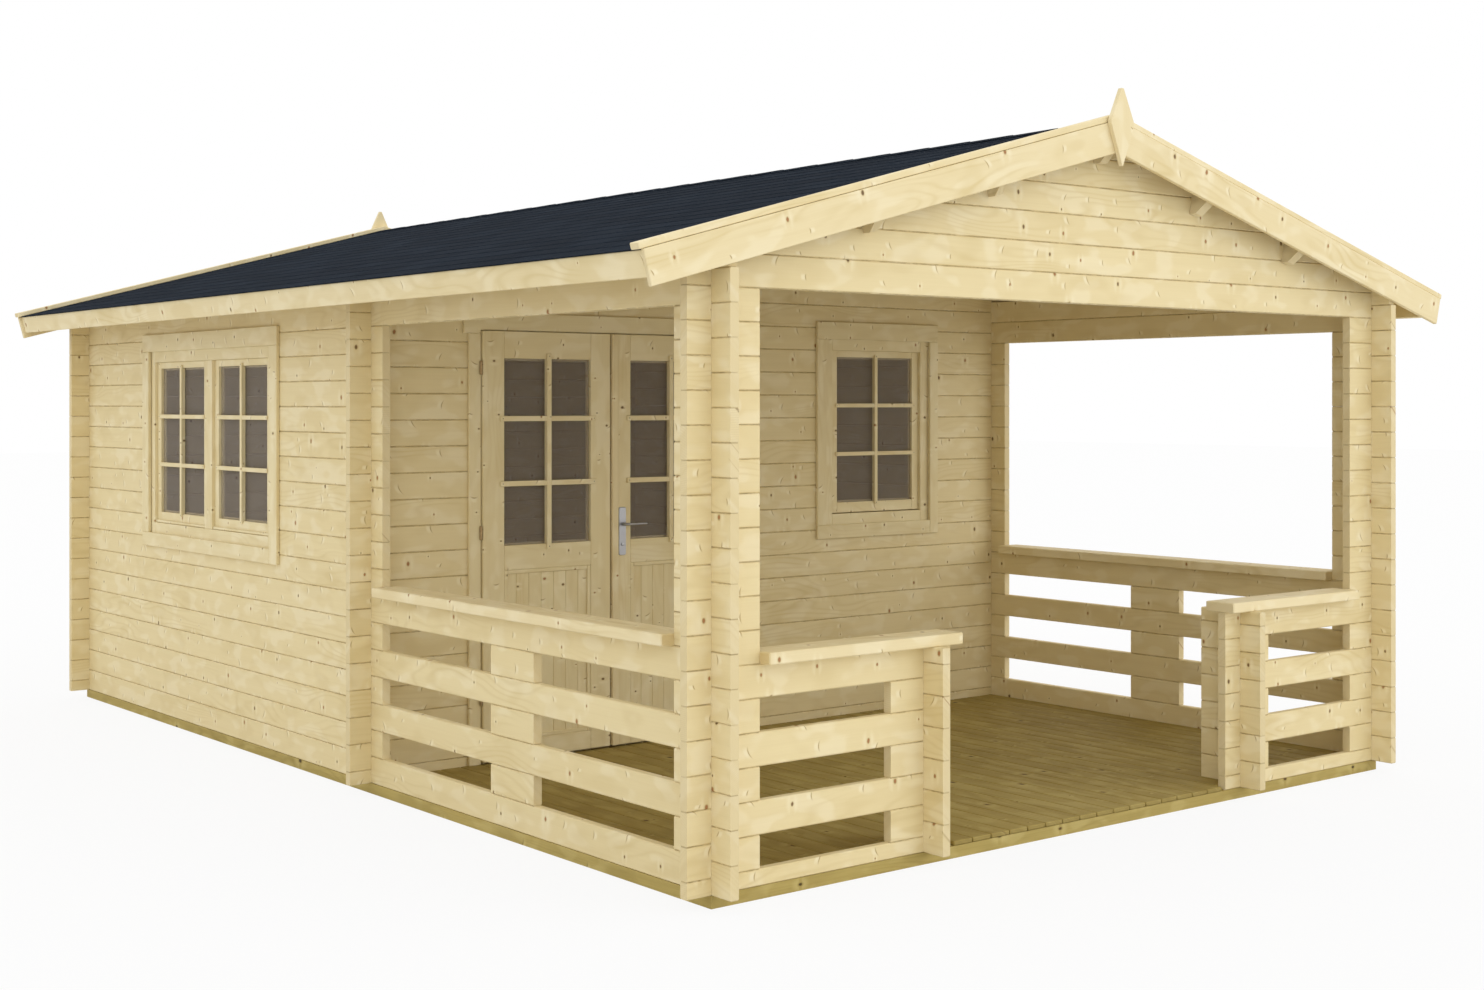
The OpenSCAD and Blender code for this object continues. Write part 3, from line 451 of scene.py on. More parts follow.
def putMesh(name, points, faces, finish, *stands, body="cabin", attributes=()):
    slot, material = finish
    mesh = bpy.data.meshes.new(name)
    mesh.from_pydata(points.reshape(-1, 3).tolist(), [], faces)
    shells = bmesh.new()  # each shell is closed, and mirrored ones are turned right side out here
    shells.from_mesh(mesh)
    bmesh.ops.recalc_face_normals(shells, faces=shells.faces)
    shells.to_mesh(mesh)
    shells.free()
    for label, kind, domain, values in attributes:
        made = mesh.attributes.new(label, kind, domain)
        made.data.foreach_set("vector" if kind == "FLOAT_VECTOR" else "value", values.astype(np.float32).ravel())
    mesh.materials.append(material)
    piece = bpy.data.objects.new(name, mesh)
    bpy.context.scene.collection.objects.link(piece)
    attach(piece, body)
    if stands:
        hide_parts(*stands)


def putWood(name, points, grain, endShade, finish, *stands, body="cabin", bend=None):
    # Each board is cut from its own place in the wood. bend maps the points from a flat layout into place.
    quads, caps = ringFaces(*points.shape[:3])
    grain = grain + dice.uniform(0, 60, (len(grain), 1, 1, 3)) * np.array([1.0, 1.0, 0.2])
    ended = np.repeat([0.0, endShade], [len(quads), len(caps)])
    marks = [("grain", "FLOAT_VECTOR", "POINT", grain), ownTone(points), ("endGrain", "FLOAT", "FACE", ended)]
    points = points if bend is None else bend(points)
    putMesh(name, points, quads + caps, finish, *stands, body=body, attributes=marks)


def boards(name, bars, finish, *stands, chamfer, body="cabin", bend=None, hidden=(), mostCut=0.3):
    # bars is a list of (low corner, high corner, run axis).
    low = np.array([b[0] for b in bars], float)
    high = np.array([b[1] for b in bars], float)
    run = np.array(["xyz".index(b[2]) for b in bars])
    cut = np.minimum(chamfer, np.abs(high - low).min(1) * mostCut)
    ends = np.stack([cut, cut], 1)
    for row, stop in hidden:
        ends[row, stop] = 0.0
    points, grain = barGrid(low, high, run, cut, ends)
    putWood(name, points, grain, 1.0, finish, *stands, body=body, bend=bend)


def prism(name, outline, ys, run, cut, finish, *stands, bend=None, mitreLimit=0.35):
    # One outline of (x, z) points, carried through each pair of depths and drawn in at both faces by the edge cut. A
    # drawn-in point lies on its corner's bisector, the cut away from both edges.
    outline, ys = np.array(outline, float), np.array(ys, float)
    edge = np.roll(outline, -1, 0) - outline
    inward = np.stack([-edge[:, 1], edge[:, 0]], 1) / np.linalg.norm(edge, axis=1, keepdims=True)
    before = np.roll(inward, 1, 0)
    opening = np.maximum(1 + (inward * before).sum(1, keepdims=True), mitreLimit)
    drawn = outline + cut * (inward + before) / opening
    flat = np.stack([drawn, outline, outline, drawn])
    depth = ys[:, [0, 0, 1, 1]] + np.array([0.0, cut, -cut, 0.0])
    points = np.empty((len(ys), 4, len(outline), 3))
    points[..., 0], points[..., 2], points[..., 1] = flat[..., 0], flat[..., 1], depth[:, :, None]
    grain = points[..., [0, 2, 1] if run == "x" else [2, 0, 1]]
    putWood(name, points, grain, 0.0, finish, *stands, bend=bend)


def planks(start, stop, pitch, gap):  # both edges of equal boards of about the pitch, the gap apart
    edges = np.linspace(start, stop, max(1, round((stop - start) / pitch)) + 1)
    return list(zip(edges[:-1] + gap / 2, edges[1:] - gap / 2))


def onSlope(side, cutReach=0.05, atRidge=0.02):
    # Slope layout (u down from the ridge, y, v over the boards' underside) to the roof. Ridge ends are cut upright.
    rise, fall = math.sin(house["pitch"]), math.cos(house["pitch"])

    def bend(points):
        u, y, v = points[..., 0], points[..., 1], points[..., 2]
        u = u - v * math.tan(house["pitch"]) * (1 - np.clip(u / cutReach, 0, 1)) * (u.min() < atRidge)
        return np.stack([side * (u * fall + v * rise), y, house["ridgeZ"] + v * fall - u * rise], -1)
    return bend


# veranda deck: boards along Y, cut round the end posts
deck = dict(pitch=0.1025, gap=0.0045, chamfer=0.0035, entryX=0.8456, postIn=0.9506, postOut=0.9894, postBack=-2.8186,
            leastStrip=0.004)
(deckX0, deckY0, deckZ0), (deckX1, deckY1, deckZ1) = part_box("veranda_deck")
inY = house["frontY"] + house["logT"] + joinGap
strips, hiddenEnds = [], []
for x0, x1 in planks(deckX0, deckX1, deck["pitch"], deck["gap"]):
    inner, outer = min(abs(x0), abs(x1)), max(abs(x0), abs(x1))
    if outer < deck["entryX"]:
        strips.append((x0, x1, deckY0, deckY1))
    elif outer < deck["postIn"] or inner > deck["postOut"]:
        strips.append((x0, x1, inY, deckY1))
    else:
        hiddenEnds.append((len(strips), 0))
        strips.append((x0, x1, deck["postBack"], deckY1))
        side = 1 if x0 > 0 else -1
        for a, b in ((inner, deck["postIn"]), (deck["postOut"], outer)):
            if b - a > deck["leastStrip"]:
                hiddenEnds.append((len(strips), 1))
                strips.append((side * a, side * b, inY, deck["postBack"]))
bars = [((x0, y0, deckZ0), (x1, y1, deckZ1), "y") for x0, x1, y0, y1 in strips]
boards("deck_boards", bars, treated, "veranda_deck", chamfer=deck["chamfer"], hidden=hiddenEnds)

# room floor: boards along Y
roomFloor = dict(pitch=0.112, gap=0.0008, chamfer=0.0012)
(x0, y0, z0), (x1, y1, z1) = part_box("cabin_floor")
bars = [((a, y0, z0), (b, y1, z1), "y") for a, b in planks(x0, x1, roomFloor["pitch"], roomFloor["gap"])]
boards("floor_boards", bars, sawn, "cabin_floor", chamfer=roomFloor["chamfer"])
print("floors")

# roof: boards down the slope, shingle rows, ridge caps
roof = dict(boardPitch=0.096, boardGap=0.0006, boardU=2.4122, boardT=0.018, boardCut=0.0025, sheetU=2.4425,
            sheetV=0.0183, sheetT=0.0012, sheetIn=0.004, exposure=0.142, tab=0.3125, tabT=0.0026, tabV=0.0004,
            tabCut=0.0008, slotGap=0.007, overlap=0.012, lift=0.0014, topU=0.004, leastRow=0.05, leastTab=0.02,
            fasciaIn=2.4125, fasciaV=-0.077)
gableY = house["roofY"]
for side, label in sides:
    bars = [((0, a, 0), (roof["boardU"], b, roof["boardT"]), "x")
            for a, b in planks(-gableY, gableY, roof["boardPitch"], roof["boardGap"])]
    boards(f"{label}_ceiling_boards", bars, sawn, f"{label}_roof_boards", chamfer=roof["boardCut"],
           bend=onSlope(side))
    sheetTop = roof["sheetV"] + roof["sheetT"]
    bars = [((0, -gableY, roof["sheetV"]), (roof["sheetU"] - roof["sheetIn"], gableY, sheetTop), "x")]
    for row, down in enumerate(np.arange(roof["sheetU"], roof["leastRow"], -roof["exposure"])):
        up = max(down - roof["exposure"] - roof["overlap"], roof["topU"])
        for a in np.arange(-gableY - roof["tab"] * (0.5 if row % 2 else 0.0), gableY, roof["tab"]):
            left, right, slot = max(a, -gableY), min(a + roof["tab"], gableY), roof["slotGap"] / 2
            if right - left > roof["leastTab"]:
                bars.append(((up, left + slot, 0), (down, right - slot, roof["tabT"]), "x"))

    def layTabs(points, side=side):
        # Each tab leans on the row below: its underside rises with the distance from its upper edge.
        tabs = points[1:]
        top = tabs[..., 0].min((1, 2))[:, None, None]
        lean = (tabs[..., 0] - top) / roof["exposure"] * roof["lift"]
        laid = points.copy()
        laid[1:, ..., 2] = tabs[..., 2] + roof["sheetV"] + roof["tabV"] + lean
        return onSlope(side)(laid)
    boards(f"{label}_shingle_tabs", bars, felt, f"{label}_shingles", chamfer=roof["tabCut"], bend=layTabs)

ridgeCap = dict(count=24, stations=9, reach=0.115, fold=0.012, thick=0.0025, over=0.0022, lift=(0.003, 0.0002),
                fromGable=0.052, gap=0.001, overlap=0.03)


def ridgeCaps(c):
    # Cap pieces: a thin section along the ridge, carried across it, that falls with a rounded fold's distance.
    across = np.linspace(-1, 1, c["stations"])
    drop = (np.sqrt(across ** 2 + c["fold"]) - math.sqrt(c["fold"])) * c["reach"] * math.tan(house["pitch"])
    crest = house["ridgeZ"] + (roof["sheetV"] + c["over"]) / math.cos(house["pitch"])
    last = gableY - c["fromGable"]
    cuts = np.linspace(-last, last, c["count"] + 1)
    front, back = cuts[:-1] + c["gap"], np.minimum(cuts[1:] + c["overlap"], last)
    (high, low), thick = c["lift"], c["thick"]
    points = np.empty((c["count"], c["stations"], 4, 3))
    points[..., 0] = (across * c["reach"] * math.cos(house["pitch"]))[:, None]
    points[..., 1] = np.stack([front, back, back, front], 1)[:, None, :]
    points[..., 2] = crest - drop[:, None] + np.array([high, low, low + thick, high + thick])
    quads, caps = ringFaces(*points.shape[:3])
    putMesh("ridge_caps", points, quads + caps, felt, attributes=[ownTone(points)])


ridgeCaps(ridgeCap)

# roof trim: fascias, bargeboards and cover strips follow the slope
edgeTrim = dict(bargeU=2.4485, bargeV=(-0.105, 0.022), bargeY=(3.1253, 3.145), stripU=2.4615,
                stripV=(0.0233, 0.0475), stripY=(3.09, 3.14), chamfer=0.0025)


def atGables(part):  # one board down the slope at each gable end
    reach, (v0, v1), (y0, y1) = (edgeTrim[part + axis] for axis in "UVY")
    return [((0, end * y0, v0), (reach, end * y1, v1), "x") for end in (-1, 1)]


for side, label in sides:
    fascia = [((roof["fasciaIn"], -gableY, roof["fasciaV"]), (house["roofU"], gableY, roof["boardT"]), "y")]
    for part, bars, node in (("fascia", fascia, "eave_fascias"), ("bargeboards", atGables("barge"), "bargeboards"),
                             ("cover_strips", atGables("strip"), "cover_strips")):
        boards(f"{label}_{part}", bars, planed, node, chamfer=edgeTrim["chamfer"], bend=onSlope(side))

# finials: a kite outline, widest at the belly, cut off square at the top
finial = dict(low=2.70121, levels=(0.0, 0.168, 0.186, 0.315), widths=(0.0052, 0.14, 0.136, 0.014), cut=0.0015,
              y=(3.1453, 3.1653))
rise, half = np.array(finial["levels"]), np.array(finial["widths"]) / 2
kite = np.stack([np.concatenate([half, -half[::-1]]), finial["low"] + np.concatenate([rise, rise[::-1]])], 1)
depths = [[end * y for y in finial["y"][::end]] for end in (-1, 1)]
prism("finial_boards", kite, depths, "z", finial["cut"], planed, "finials")
print("roof")

# handrails: one flat rail on each railing
rail = dict(side=((-2.056, -2.8147, 0.886), (-1.906, -0.6553, 0.93)), chamfer=0.004,
            front=((-1.7847, -3.086, 0.826), (-0.831, -2.936, 0.87)))
bars = []
for mirror in (1, -1):
    for key, run in (("side", "y"), ("front", "x")):
        (x0, y0, z0), (x1, y1, z1) = rail[key]
        bars.append(((mirror * x0, y0, z0), (mirror * x1, y1, z1), run))
boards("handrail_boards", bars, planed, "handrails", chamfer=rail["chamfer"])

# joinery: drawn flat (x along the wall, y in from its face, z up), then set into a wall
joineryCut = dict(trim=0.0025, lining=0.002, sash=0.0015, bars=0.002, beads=0.002, drip=0.0035, leaf=0.002,
                  panel=0.003)
glazing = dict(bead=0.009, windowDepth=0.012, doorDepth=0.01)
barFit = dict(stepped=0.0006, seat=0.0002, webIn=0.001, webBack=0.003)
windowBar = dict(barFit, wide=0.022, lap=0.014, proud=0.01, levels=(1 / 3, 2 / 3))
doorBar = dict(barFit, wide=0.025, lap=0.026, proud=0.01, levels=(0.33, 0.678))
nail = dict(radius=0.0024, rise=0.0009, shoulder=0.72, sides=6)
trimY = (-0.018, -seat)


def joinery(name, bars, kind, bend, *stands, body="cabin"):
    boards(name, bars, pine, *stands, chamfer=joineryCut[kind], body=body, bend=bend)


def framed(x0, x1, z0, z1, side, low, high, y0, y1):  # uprights run through, level boards stand between them
    made = [((a, y0, z0), (b, y1, z1), "z") for a, b in ((x0, x0 + side), (x1 - side, x1))]
    a, b = x0 + side + joinGap, x1 - side - joinGap
    return made + [((a, y0, z0), (b, y1, z0 + low), "x"), ((a, y0, z1 - high), (b, y1, z1), "x")]


def glazingBeads(x0, x1, z0, z1, glassIn, depth):  # a thin frame behind the glass
    return framed(x0 + joinGap, x1 - joinGap, z0 + joinGap, z1 - joinGap, *[glazing["bead"]] * 3, glassIn + seat,
                  glassIn + depth)


def barsOverGlass(x, w, z, h, face, glassOut, bar):
    # Each bar is a flat strip lapped over the sash, with a narrower web behind it that reaches back to the glass.
    half, lap, front, back = bar["wide"] / 2, bar["lap"], face - bar["proud"], face - bar["seat"]
    webHalf, web, webBack = half - bar["webIn"], front + bar["webBack"], glassOut - joinGap
    tall = front - bar["stepped"]
    made = [((x - half, tall, z - lap), (x + half, back, z + h + lap), "z"),
            ((x - webHalf, web, z + joinGap), (x + webHalf, webBack, z + h - joinGap), "z")]
    nails = [(x, tall, level) for level in (z - lap / 2, z + h + lap / 2)]
    for share in bar["levels"]:
        level = z + h * share
        for s in (-1, 1):
            a, b = x + s * (half + bar["seat"]), x + s * w / 2
            made.append(((a, front, level - half), (b + s * lap, back, level + half), "x"))
            made.append(((a, web, level - webHalf), (b - s * joinGap, webBack, level + webHalf), "x"))
            nails.append((b + s * lap / 2, front, level))
    return made, nails


def nailHeads(name, spots, body, bend):
    # Low domes: two rings of points and a crown, facing out of the wall.
    n, k = nail["sides"], np.arange(nail["sides"])
    step, turn = (k + 1) % n, k / n * 2 * math.pi
    around = np.concatenate([turn, turn, [0.0]])
    ring = np.repeat([1.0, nail["shoulder"], 0.0], [n, n, 1])
    dome = np.stack([nail["radius"] * ring * np.cos(around), -nail["rise"] * np.sqrt(1 - ring ** 2),
                     nail["radius"] * ring * np.sin(around)], 1)
    points = np.array(spots, float)[:, None, :] + dome
    base = (np.arange(len(spots)) * len(dome))[:, None]
    band = np.stack([base + k, base + step, base + n + step, base + n + k], -1).reshape(-1, 4)
    top = np.stack([base + n + k, base + n + step, base + 2 * n + 0 * k], -1).reshape(-1, 3)
    foot = base + k[::-1]
    putMesh(name, bend(points), band.tolist() + top.tolist() + foot.tolist(), nailSteel, body=body)


windowSize = dict(stile=0.048, head=0.034, foot=0.059, sashLow=0.082, sashHigh=0.96, trimLow=0.025, trimHigh=1.019,
                  headTrim=0.094, footTrim=0.074, trimLap=0.038, opening=1.08, mullion=0.092, sashY=(0.019, 0.055),
                  frameY=(0.002, 0.056), glassY=(0.033, 0.037), underSash=0.004, dripIn=0.005, dripY=(0.013, 0.0002),
                  dripZ=(0.001, 0.015))
sideWindow = dict(label="side_window", sashes=(-0.386, 0.386), pane=0.584, sill=1.006, trimW=0.088, show=0.047)
frontWindow = dict(label="front_window", sashes=(0.0,), pane=0.556, sill=1.066, trimW=0.063, show=0.058)
windowMiddle = dict(side=1.254, front=1.068415)


def inSideWall(points):  # outer face at x = -2, drawn x runs towards -Y
    return np.stack([points[..., 1] - house["sideX"], windowMiddle["side"] - points[..., 0], points[..., 2]], -1)


def inDoorWall(middle):
    return lambda points: points + np.array([middle, house["doorY"], 0.0])


def window(label, sashes, pane, sill, trimW, show, bend, drip=False):
    w, (y0, y1) = windowSize, trimY
    sashW = pane + 2 * w["stile"]
    inner = len(sashes) * sashW + (len(sashes) - 1) * w["mullion"]
    edge = inner / 2 + show
    outside, cut = edge + trimW, edge + trimW - w["trimLap"]
    low, high, foot = sill + w["trimLow"], sill + w["trimHigh"], sill + w["trimLow"] - w["footTrim"]
    trim = [((-outside, y0, high), (outside, y1, high + w["headTrim"]), "x"),
            ((-outside, y0, foot), (edge - joinGap, y1, low), "x"),
            ((-outside, y0, low + joinGap), (-edge, y1, high - joinGap), "z"),
            ((edge, y0, foot), (outside, y1, high - joinGap), "z")]
    joinery(f"{label}_trim_boards", trim, "trim", bend, f"{label}_trim")
    sashZ, sashTop = sill + w["sashLow"], sill + w["sashHigh"]
    lining = framed(joinGap - cut, cut - joinGap, sill + joinGap, sill + w["opening"] - joinGap,
                    cut - inner / 2 - 2 * joinGap, w["sashLow"] - 2 * joinGap,
                    w["opening"] - w["sashHigh"] - 2 * joinGap, *w["frameY"])
    if len(sashes) > 1:
        post = w["mullion"] / 2 - joinGap
        lining.append(((-post, w["frameY"][0], sashZ), (post, w["frameY"][1], sashTop), "z"))
    joinery(f"{label}_lining", lining, "lining", bend, f"{label}_frame")
    paneZ = sashZ + w["foot"]
    paneH = sashTop - w["head"] - paneZ
    face, (glassOut, glassIn) = w["sashY"][0], w["glassY"]
    (dripOut, dripBack), (dripLow, dripHigh) = w["dripY"], w["dripZ"]
    sash, bars, beads, nails, drips = [], [], [], [], []
    for x in sashes:
        sash += framed(x - sashW / 2, x + sashW / 2, sashZ + w["underSash"], sashTop, w["stile"],
                       w["foot"] - w["underSash"], w["head"], *w["sashY"])
        made, spots = barsOverGlass(x, pane, paneZ, paneH, face, glassOut, windowBar)
        bars, nails = bars + made, nails + spots
        beads += glazingBeads(x - pane / 2, x + pane / 2, paneZ, paneZ + paneH, glassIn, glazing["windowDepth"])
        x0, x1 = x - sashW / 2 + w["dripIn"], x + sashW / 2 - w["dripIn"]
        drips.append(((x0, face - dripOut, sashZ + dripLow), (x1, face - dripBack, sashZ + dripHigh), "x"))
    joinery(f"{label}_sash_boards", sash, "sash", bend, f"{label}_sashes" if len(sashes) > 1 else f"{label}_sash")
    joinery(f"{label}_bars", bars, "bars", bend)
    joinery(f"{label}_glazing_beads", beads, "beads", bend)
    nailHeads(f"{label}_bar_nails", nails, "cabin", bend)
    if drip:
        joinery(f"{label}_drip_strips", drips, "drip", bend)


window(**sideWindow, bend=inSideWall, drip=True)
window(**frontWindow, bend=inDoorWall(windowMiddle["front"]))
print("windows")

# double door: drawn with the wall face at y = 0 and the doorway's middle at x = 0
door = dict(middle=-0.72421, edge=0.7245, leafZ=0.074, leafH=2.005, leafW=0.714, near=0.0035, stile=0.114,
            bottom=0.088, panel=0.799, mid=0.115, top=0.127, front=-0.032, back=0.008, glassY=(-0.014, -0.01),
            panelY=(-0.022, -0.002), panelPitch=0.0695, panelGap=0.0004, bead=0.019, beadY=(-0.0305, -0.0222),
            trimW=0.059, trimLow=0.0643, headZ=2.067, headTop=2.165, headEdge=0.8105, notchZ=2.0825, lip=0.0035,
            stripCut=0.004)
doorFrame = dict(outX=0.7611, low=0.0463, sillTop=0.064, headLow=2.086, high=2.1456, stopX=0.7025, stopY=0.015,
                 stopLow=0.089, stopHigh=2.064)
d, f, inDoorway = door, doorFrame, inDoorWall(door["middle"])
edge, ear = d["edge"], d["headEdge"]
lip = edge - d["lip"]  # the boards lap over the lining, up to the leaves
bars = [((s * lip, trimY[0], d["trimLow"]), (s * (edge + d["trimW"]), trimY[1], d["headZ"] - joinGap), "z")
        for s in (-1, 1)]
joinery("door_trim_boards", bars, "trim", inDoorway, "door_trim")
notched = [(-ear, d["headZ"]), (-lip, d["headZ"]), (-lip, d["notchZ"]), (lip, d["notchZ"]),
           (lip, d["headZ"]), (ear, d["headZ"]), (ear, d["headTop"]), (-ear, d["headTop"])]
prism("door_head_board", notched, [trimY], "x", joineryCut["trim"], pine, "door_trim", bend=inDoorway)
jamb, stopZ0, stopZ1 = edge - joinGap, f["sillTop"] + joinGap, f["headLow"] - joinGap
outerFrame = framed(-f["outX"], f["outX"], f["low"], f["high"], f["outX"] - edge, f["sillTop"] - f["low"],
                    f["high"] - f["headLow"], 0.0, house["logT"])
stops = framed(-jamb, jamb, stopZ0, stopZ1, jamb - f["stopX"], f["stopLow"] - stopZ0, stopZ1 - f["stopHigh"],
               f["stopY"], house["logT"])
joinery("door_lining", outerFrame[:2] + stops[:2] + outerFrame[2:] + stops[2:], "lining", inDoorway, "door_frame")

near, far = d["near"], d["near"] + d["leafW"]
railX0, railX1 = near + d["stile"] + joinGap, far - d["stile"] - joinGap
panelZ, leafTop = d["leafZ"] + d["bottom"], d["leafZ"] + d["leafH"]
midZ, glassTop = panelZ + d["panel"], leafTop - d["top"]
glassZ = midZ + d["mid"]
leafBars = [((a, d["front"], d["leafZ"]), (a + d["stile"], d["back"], leafTop), "z")
            for a in (near, far - d["stile"])]
leafBars += [((railX0, d["front"], a), (railX1, d["back"], b), "x")
             for a, b in ((d["leafZ"], panelZ), (midZ, glassZ), (glassTop, leafTop))]
panelBars = [((a, d["panelY"][0], panelZ + joinGap), (b, d["panelY"][1], midZ - joinGap), "z")
             for a, b in planks(railX0, railX1, d["panelPitch"], d["panelGap"])]
beadBars = framed(railX0, railX1, panelZ + joinGap, midZ - joinGap, d["bead"], d["bead"], d["bead"], *d["beadY"])
gridBars, nails = barsOverGlass((near + far) / 2, railX1 - railX0, glassZ, glassTop - glassZ, d["front"],
                                d["glassY"][0], doorBar)
paneBeads = glazingBeads(railX0, railX1, glassZ, glassTop, d["glassY"][1], glazing["doorDepth"])
for side, label in sides:
    def hang(points, side=side):
        return inDoorway(points * np.array([side, 1, 1]))
    body = f"{label}_door"
    joinery(f"{body}_leaf_boards", leafBars, "leaf", hang, f"{body}_leaf", body=body)
    for part, made, kind in (("panel_boards", panelBars, "panel"), ("panel_beads", beadBars, "panel"),
                             ("glass_bars", gridBars, "bars"), ("glazing_beads", paneBeads, "beads")):
        joinery(f"{body}_{part}", made, kind, hang, body=body)
    nailHeads(f"{body}_nails", nails, body, hang)

stripLow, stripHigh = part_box("meeting_strip")
boards("closing_strip", [(stripLow, stripHigh, "z")], planed, "meeting_strip", chamfer=d["stripCut"],
       body="right_door")
print("door")

# lever handle: key, neck and grip are rows of (distance along, radius)
handle = dict(x=-0.65921, z=1.152, plateW=0.043, plateH=0.235, plateLow=0.99925, plateT=0.006, corner=0.01,
              cornerSteps=6, plateDepth=(0.0, 0.6, 1.0), plateDrawn=(0.0, 0.0, 0.002), keyZ=1.053,
              key=((-0.001, 0.0085), (0.003, 0.0085), (0.004, 0.0078), (0.0045, 0.0045)),
              neck=((0.0007, 0.0078), (0.012, 0.0078), (0.027, 0.0074)), out=0.048, bowR=0.017, bowSteps=7,
              bowThick=(0.0072, 0.0062), grip=((0.045, 0.006), (0.08, 0.0056), (0.104, 0.0052), (0.112, 0.0047),
                                               (0.117, 0.0036), (0.12, 0.0016)))
leafFaces = ((house["doorY"] + door["front"] - seat, 1), (house["doorY"] + door["back"] + seat, -1))


def roundedPlate(face, inward):
    # A rounded rectangle outline at three depths, drawn in at the face: a soft-edged plate.
    h, corner, count = handle, handle["corner"], handle["cornerSteps"]
    angle = (np.arange(4)[:, None] * math.pi / 2 + np.linspace(0, math.pi / 2, count)).ravel()
    cx = np.repeat([1, -1, -1, 1.0], count) * (h["plateW"] / 2 - corner)
    cz = np.repeat([1, 1, -1, -1.0], count) * (h["plateH"] / 2 - corner)
    depth, drawn = np.array(h["plateDepth"])[:, None] * h["plateT"], np.array(h["plateDrawn"])[:, None]
    outX = cx + (corner - drawn) * np.cos(angle)
    outZ = cz + (corner - drawn) * np.sin(angle)
    y = face - inward * depth + 0 * outX
    return np.stack([h["x"] + outX, y, h["plateLow"] + h["plateH"] / 2 + outZ], -1)


def tube(alongX, outY, z, radius, face, inward, count=16):
    # A circle carried along a level path: at each point it stands square to the path's direction.
    path = np.stack([handle["x"] + alongX, face - inward * outY, np.full(len(outY), z)], 1)
    ahead = np.gradient(path, axis=0)
    ahead /= np.linalg.norm(ahead, axis=1, keepdims=True)
    up = np.array([0.0, 0.0, 1.0])
    sideways = np.cross(ahead, up)
    turn = (np.arange(count) / count * 2 * math.pi)[None, :, None]
    return path[:, None, :] + radius[:, None, None] * (sideways[:, None, :] * np.cos(turn) + up * np.sin(turn))


def keyDrum(face, inward):  # a short stepped drum under the lever
    out, radius = np.array(handle["key"]).T
    return tube(0 * out, handle["plateT"] + out, handle["keyZ"], radius, face, inward)


def lever(face, inward):
    # Neck, bend and grip are one tube: straight out, a quarter turn, straight along X with a rounded end.
    h = handle
    (neckY, neckR), (gripX, gripR) = np.array(h["neck"]).T, np.array(h["grip"]).T
    turn = np.linspace(0, math.pi / 2, h["bowSteps"])
    alongX = np.concatenate([0 * neckY, h["bowR"] * (1 - np.cos(turn)), gripX])
    outY = np.concatenate([neckY, h["out"] - h["bowR"] * (1 - np.sin(turn)), 0 * gripX + h["out"]])
    radius = np.concatenate([neckR, np.linspace(*h["bowThick"], h["bowSteps"]), gripR])
    return tube(alongX, outY, h["z"], radius, face, inward)


def steelShells(name, shells, body, *stands):
    points, faces, start = [], [], 0
    for grid in shells:
        quads, caps = ringFaces(1, *grid.shape[:2], start)
        faces += quads + caps
        points.append(grid.reshape(-1, 3))
        start += len(points[-1])
    putMesh(name, np.concatenate(points), faces, steel, *stands, body=body)


plates = [shape(*face) for shape in (roundedPlate, keyDrum) for face in leafFaces]
steelShells("handle_backplates", plates, "right_door", "handle_plates")
steelShells("door_lever_grips", [lever(*face) for face in leafFaces], "lever", "door_lever")
print("handle")

# CAD nodes that stay get their material, by a word in their names
keptNodes = {logSpruce: ("wall", "gable", "post", "railing"), purlinWood: ("purlins",), baseWood: ("base_frame",),
             paneGlass: ("glass",), hingeBronze: ("hinge",)}
for material, words in keptNodes.items():
    for name in nodes:
        if any(word in name for word in words):
            for spot in nodes[name].material_slots:
                spot.material = material
print("CAD finishes")

# floor, light, camera
stage = dict(floorSize=60.0, floorZ=-0.0005, floorShade=0.78, floorGlow=0.88, sky=1.1, sun=0.56, sunSoft=60.0,
             sunFrom=(0.6, -0.75, 0.3))
shot = dict(place=(-5.982, -8.177, 1.739), turn=-38.657, sensor=36.0, lens=45.89, shiftY=-0.0614)


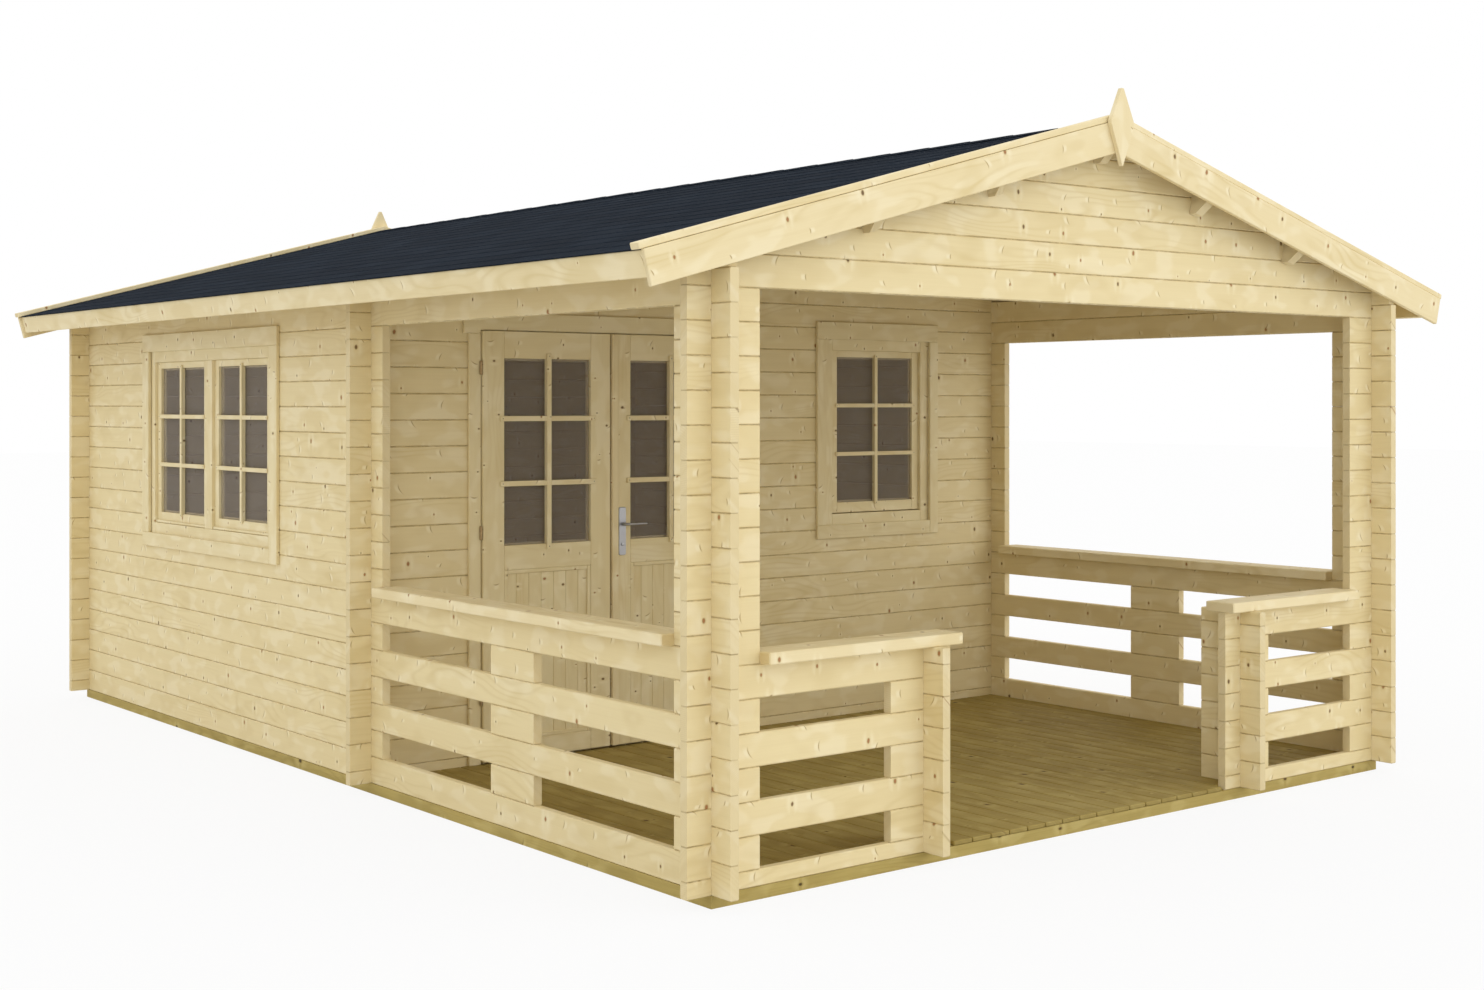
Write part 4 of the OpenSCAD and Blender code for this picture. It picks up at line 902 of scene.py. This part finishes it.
def seenByEye(s):  # camera, mirror and glass rays
    node = s.node("ShaderNodeLightPath")
    seen = s.out(node, "Is Camera Ray").most(s.out(node, "Is Glossy Ray"))
    return seen.most(s.out(node, "Is Transmission Ray"))


def floorFinish():  # seen almost white, and lit softly for everything else
    s = Sheet("pale_floor")
    soft = s.node("ShaderNodeBsdfDiffuse", Color=(stage["floorShade"],) * 3 + (1,))
    return s.close(s.blend(seenByEye(s) * stage["floorGlow"], soft, s.node("ShaderNodeEmission")))


def studio():  # seen white, and a little brighter as a light
    s = Sheet("studio", "worlds")
    white, sky = (s.node("ShaderNodeBackground", Color=(1, 1, 1, 1), Strength=power) for power in (1.0, stage["sky"]))
    return s.close(s.blend(seenByEye(s), sky, white), "ShaderNodeOutputWorld")


half = stage["floorSize"]
floorMesh = bpy.data.meshes.new("floor")
floorMesh.from_pydata([(half * x, half * y, stage["floorZ"]) for x, y in ((-1, -1), (1, -1), (1, 1), (-1, 1))], [],
                      [(0, 1, 2, 3)])
floorMesh.materials.append(floorFinish())
floor = bpy.data.objects.new("floor", floorMesh)
bpy.context.scene.collection.objects.link(floor)
bpy.context.scene.world = studio()

sunLight = bpy.data.lights.new("soft_sun", "SUN")
sunLight.energy, sunLight.angle = stage["sun"], math.radians(stage["sunSoft"])
sun = bpy.data.objects.new("soft_sun", sunLight)
toSun = np.array(stage["sunFrom"]) / np.linalg.norm(stage["sunFrom"])
sun.rotation_euler = (math.acos(toSun[2]), 0, math.atan2(toSun[1], toSun[0]) + math.pi / 2)
bpy.context.scene.collection.objects.link(sun)

cameraData = bpy.data.cameras.new("camera")
cameraData.sensor_width, cameraData.lens, cameraData.shift_y = shot["sensor"], shot["lens"], shot["shiftY"]
camera = bpy.data.objects.new("camera", cameraData)
camera.location = shot["place"]
camera.rotation_euler = (math.pi / 2, 0, math.radians(shot["turn"]))
bpy.context.scene.collection.objects.link(camera)
bpy.context.scene.camera = camera
bpy.context.scene.view_settings.view_transform = "Standard"
print("stage")
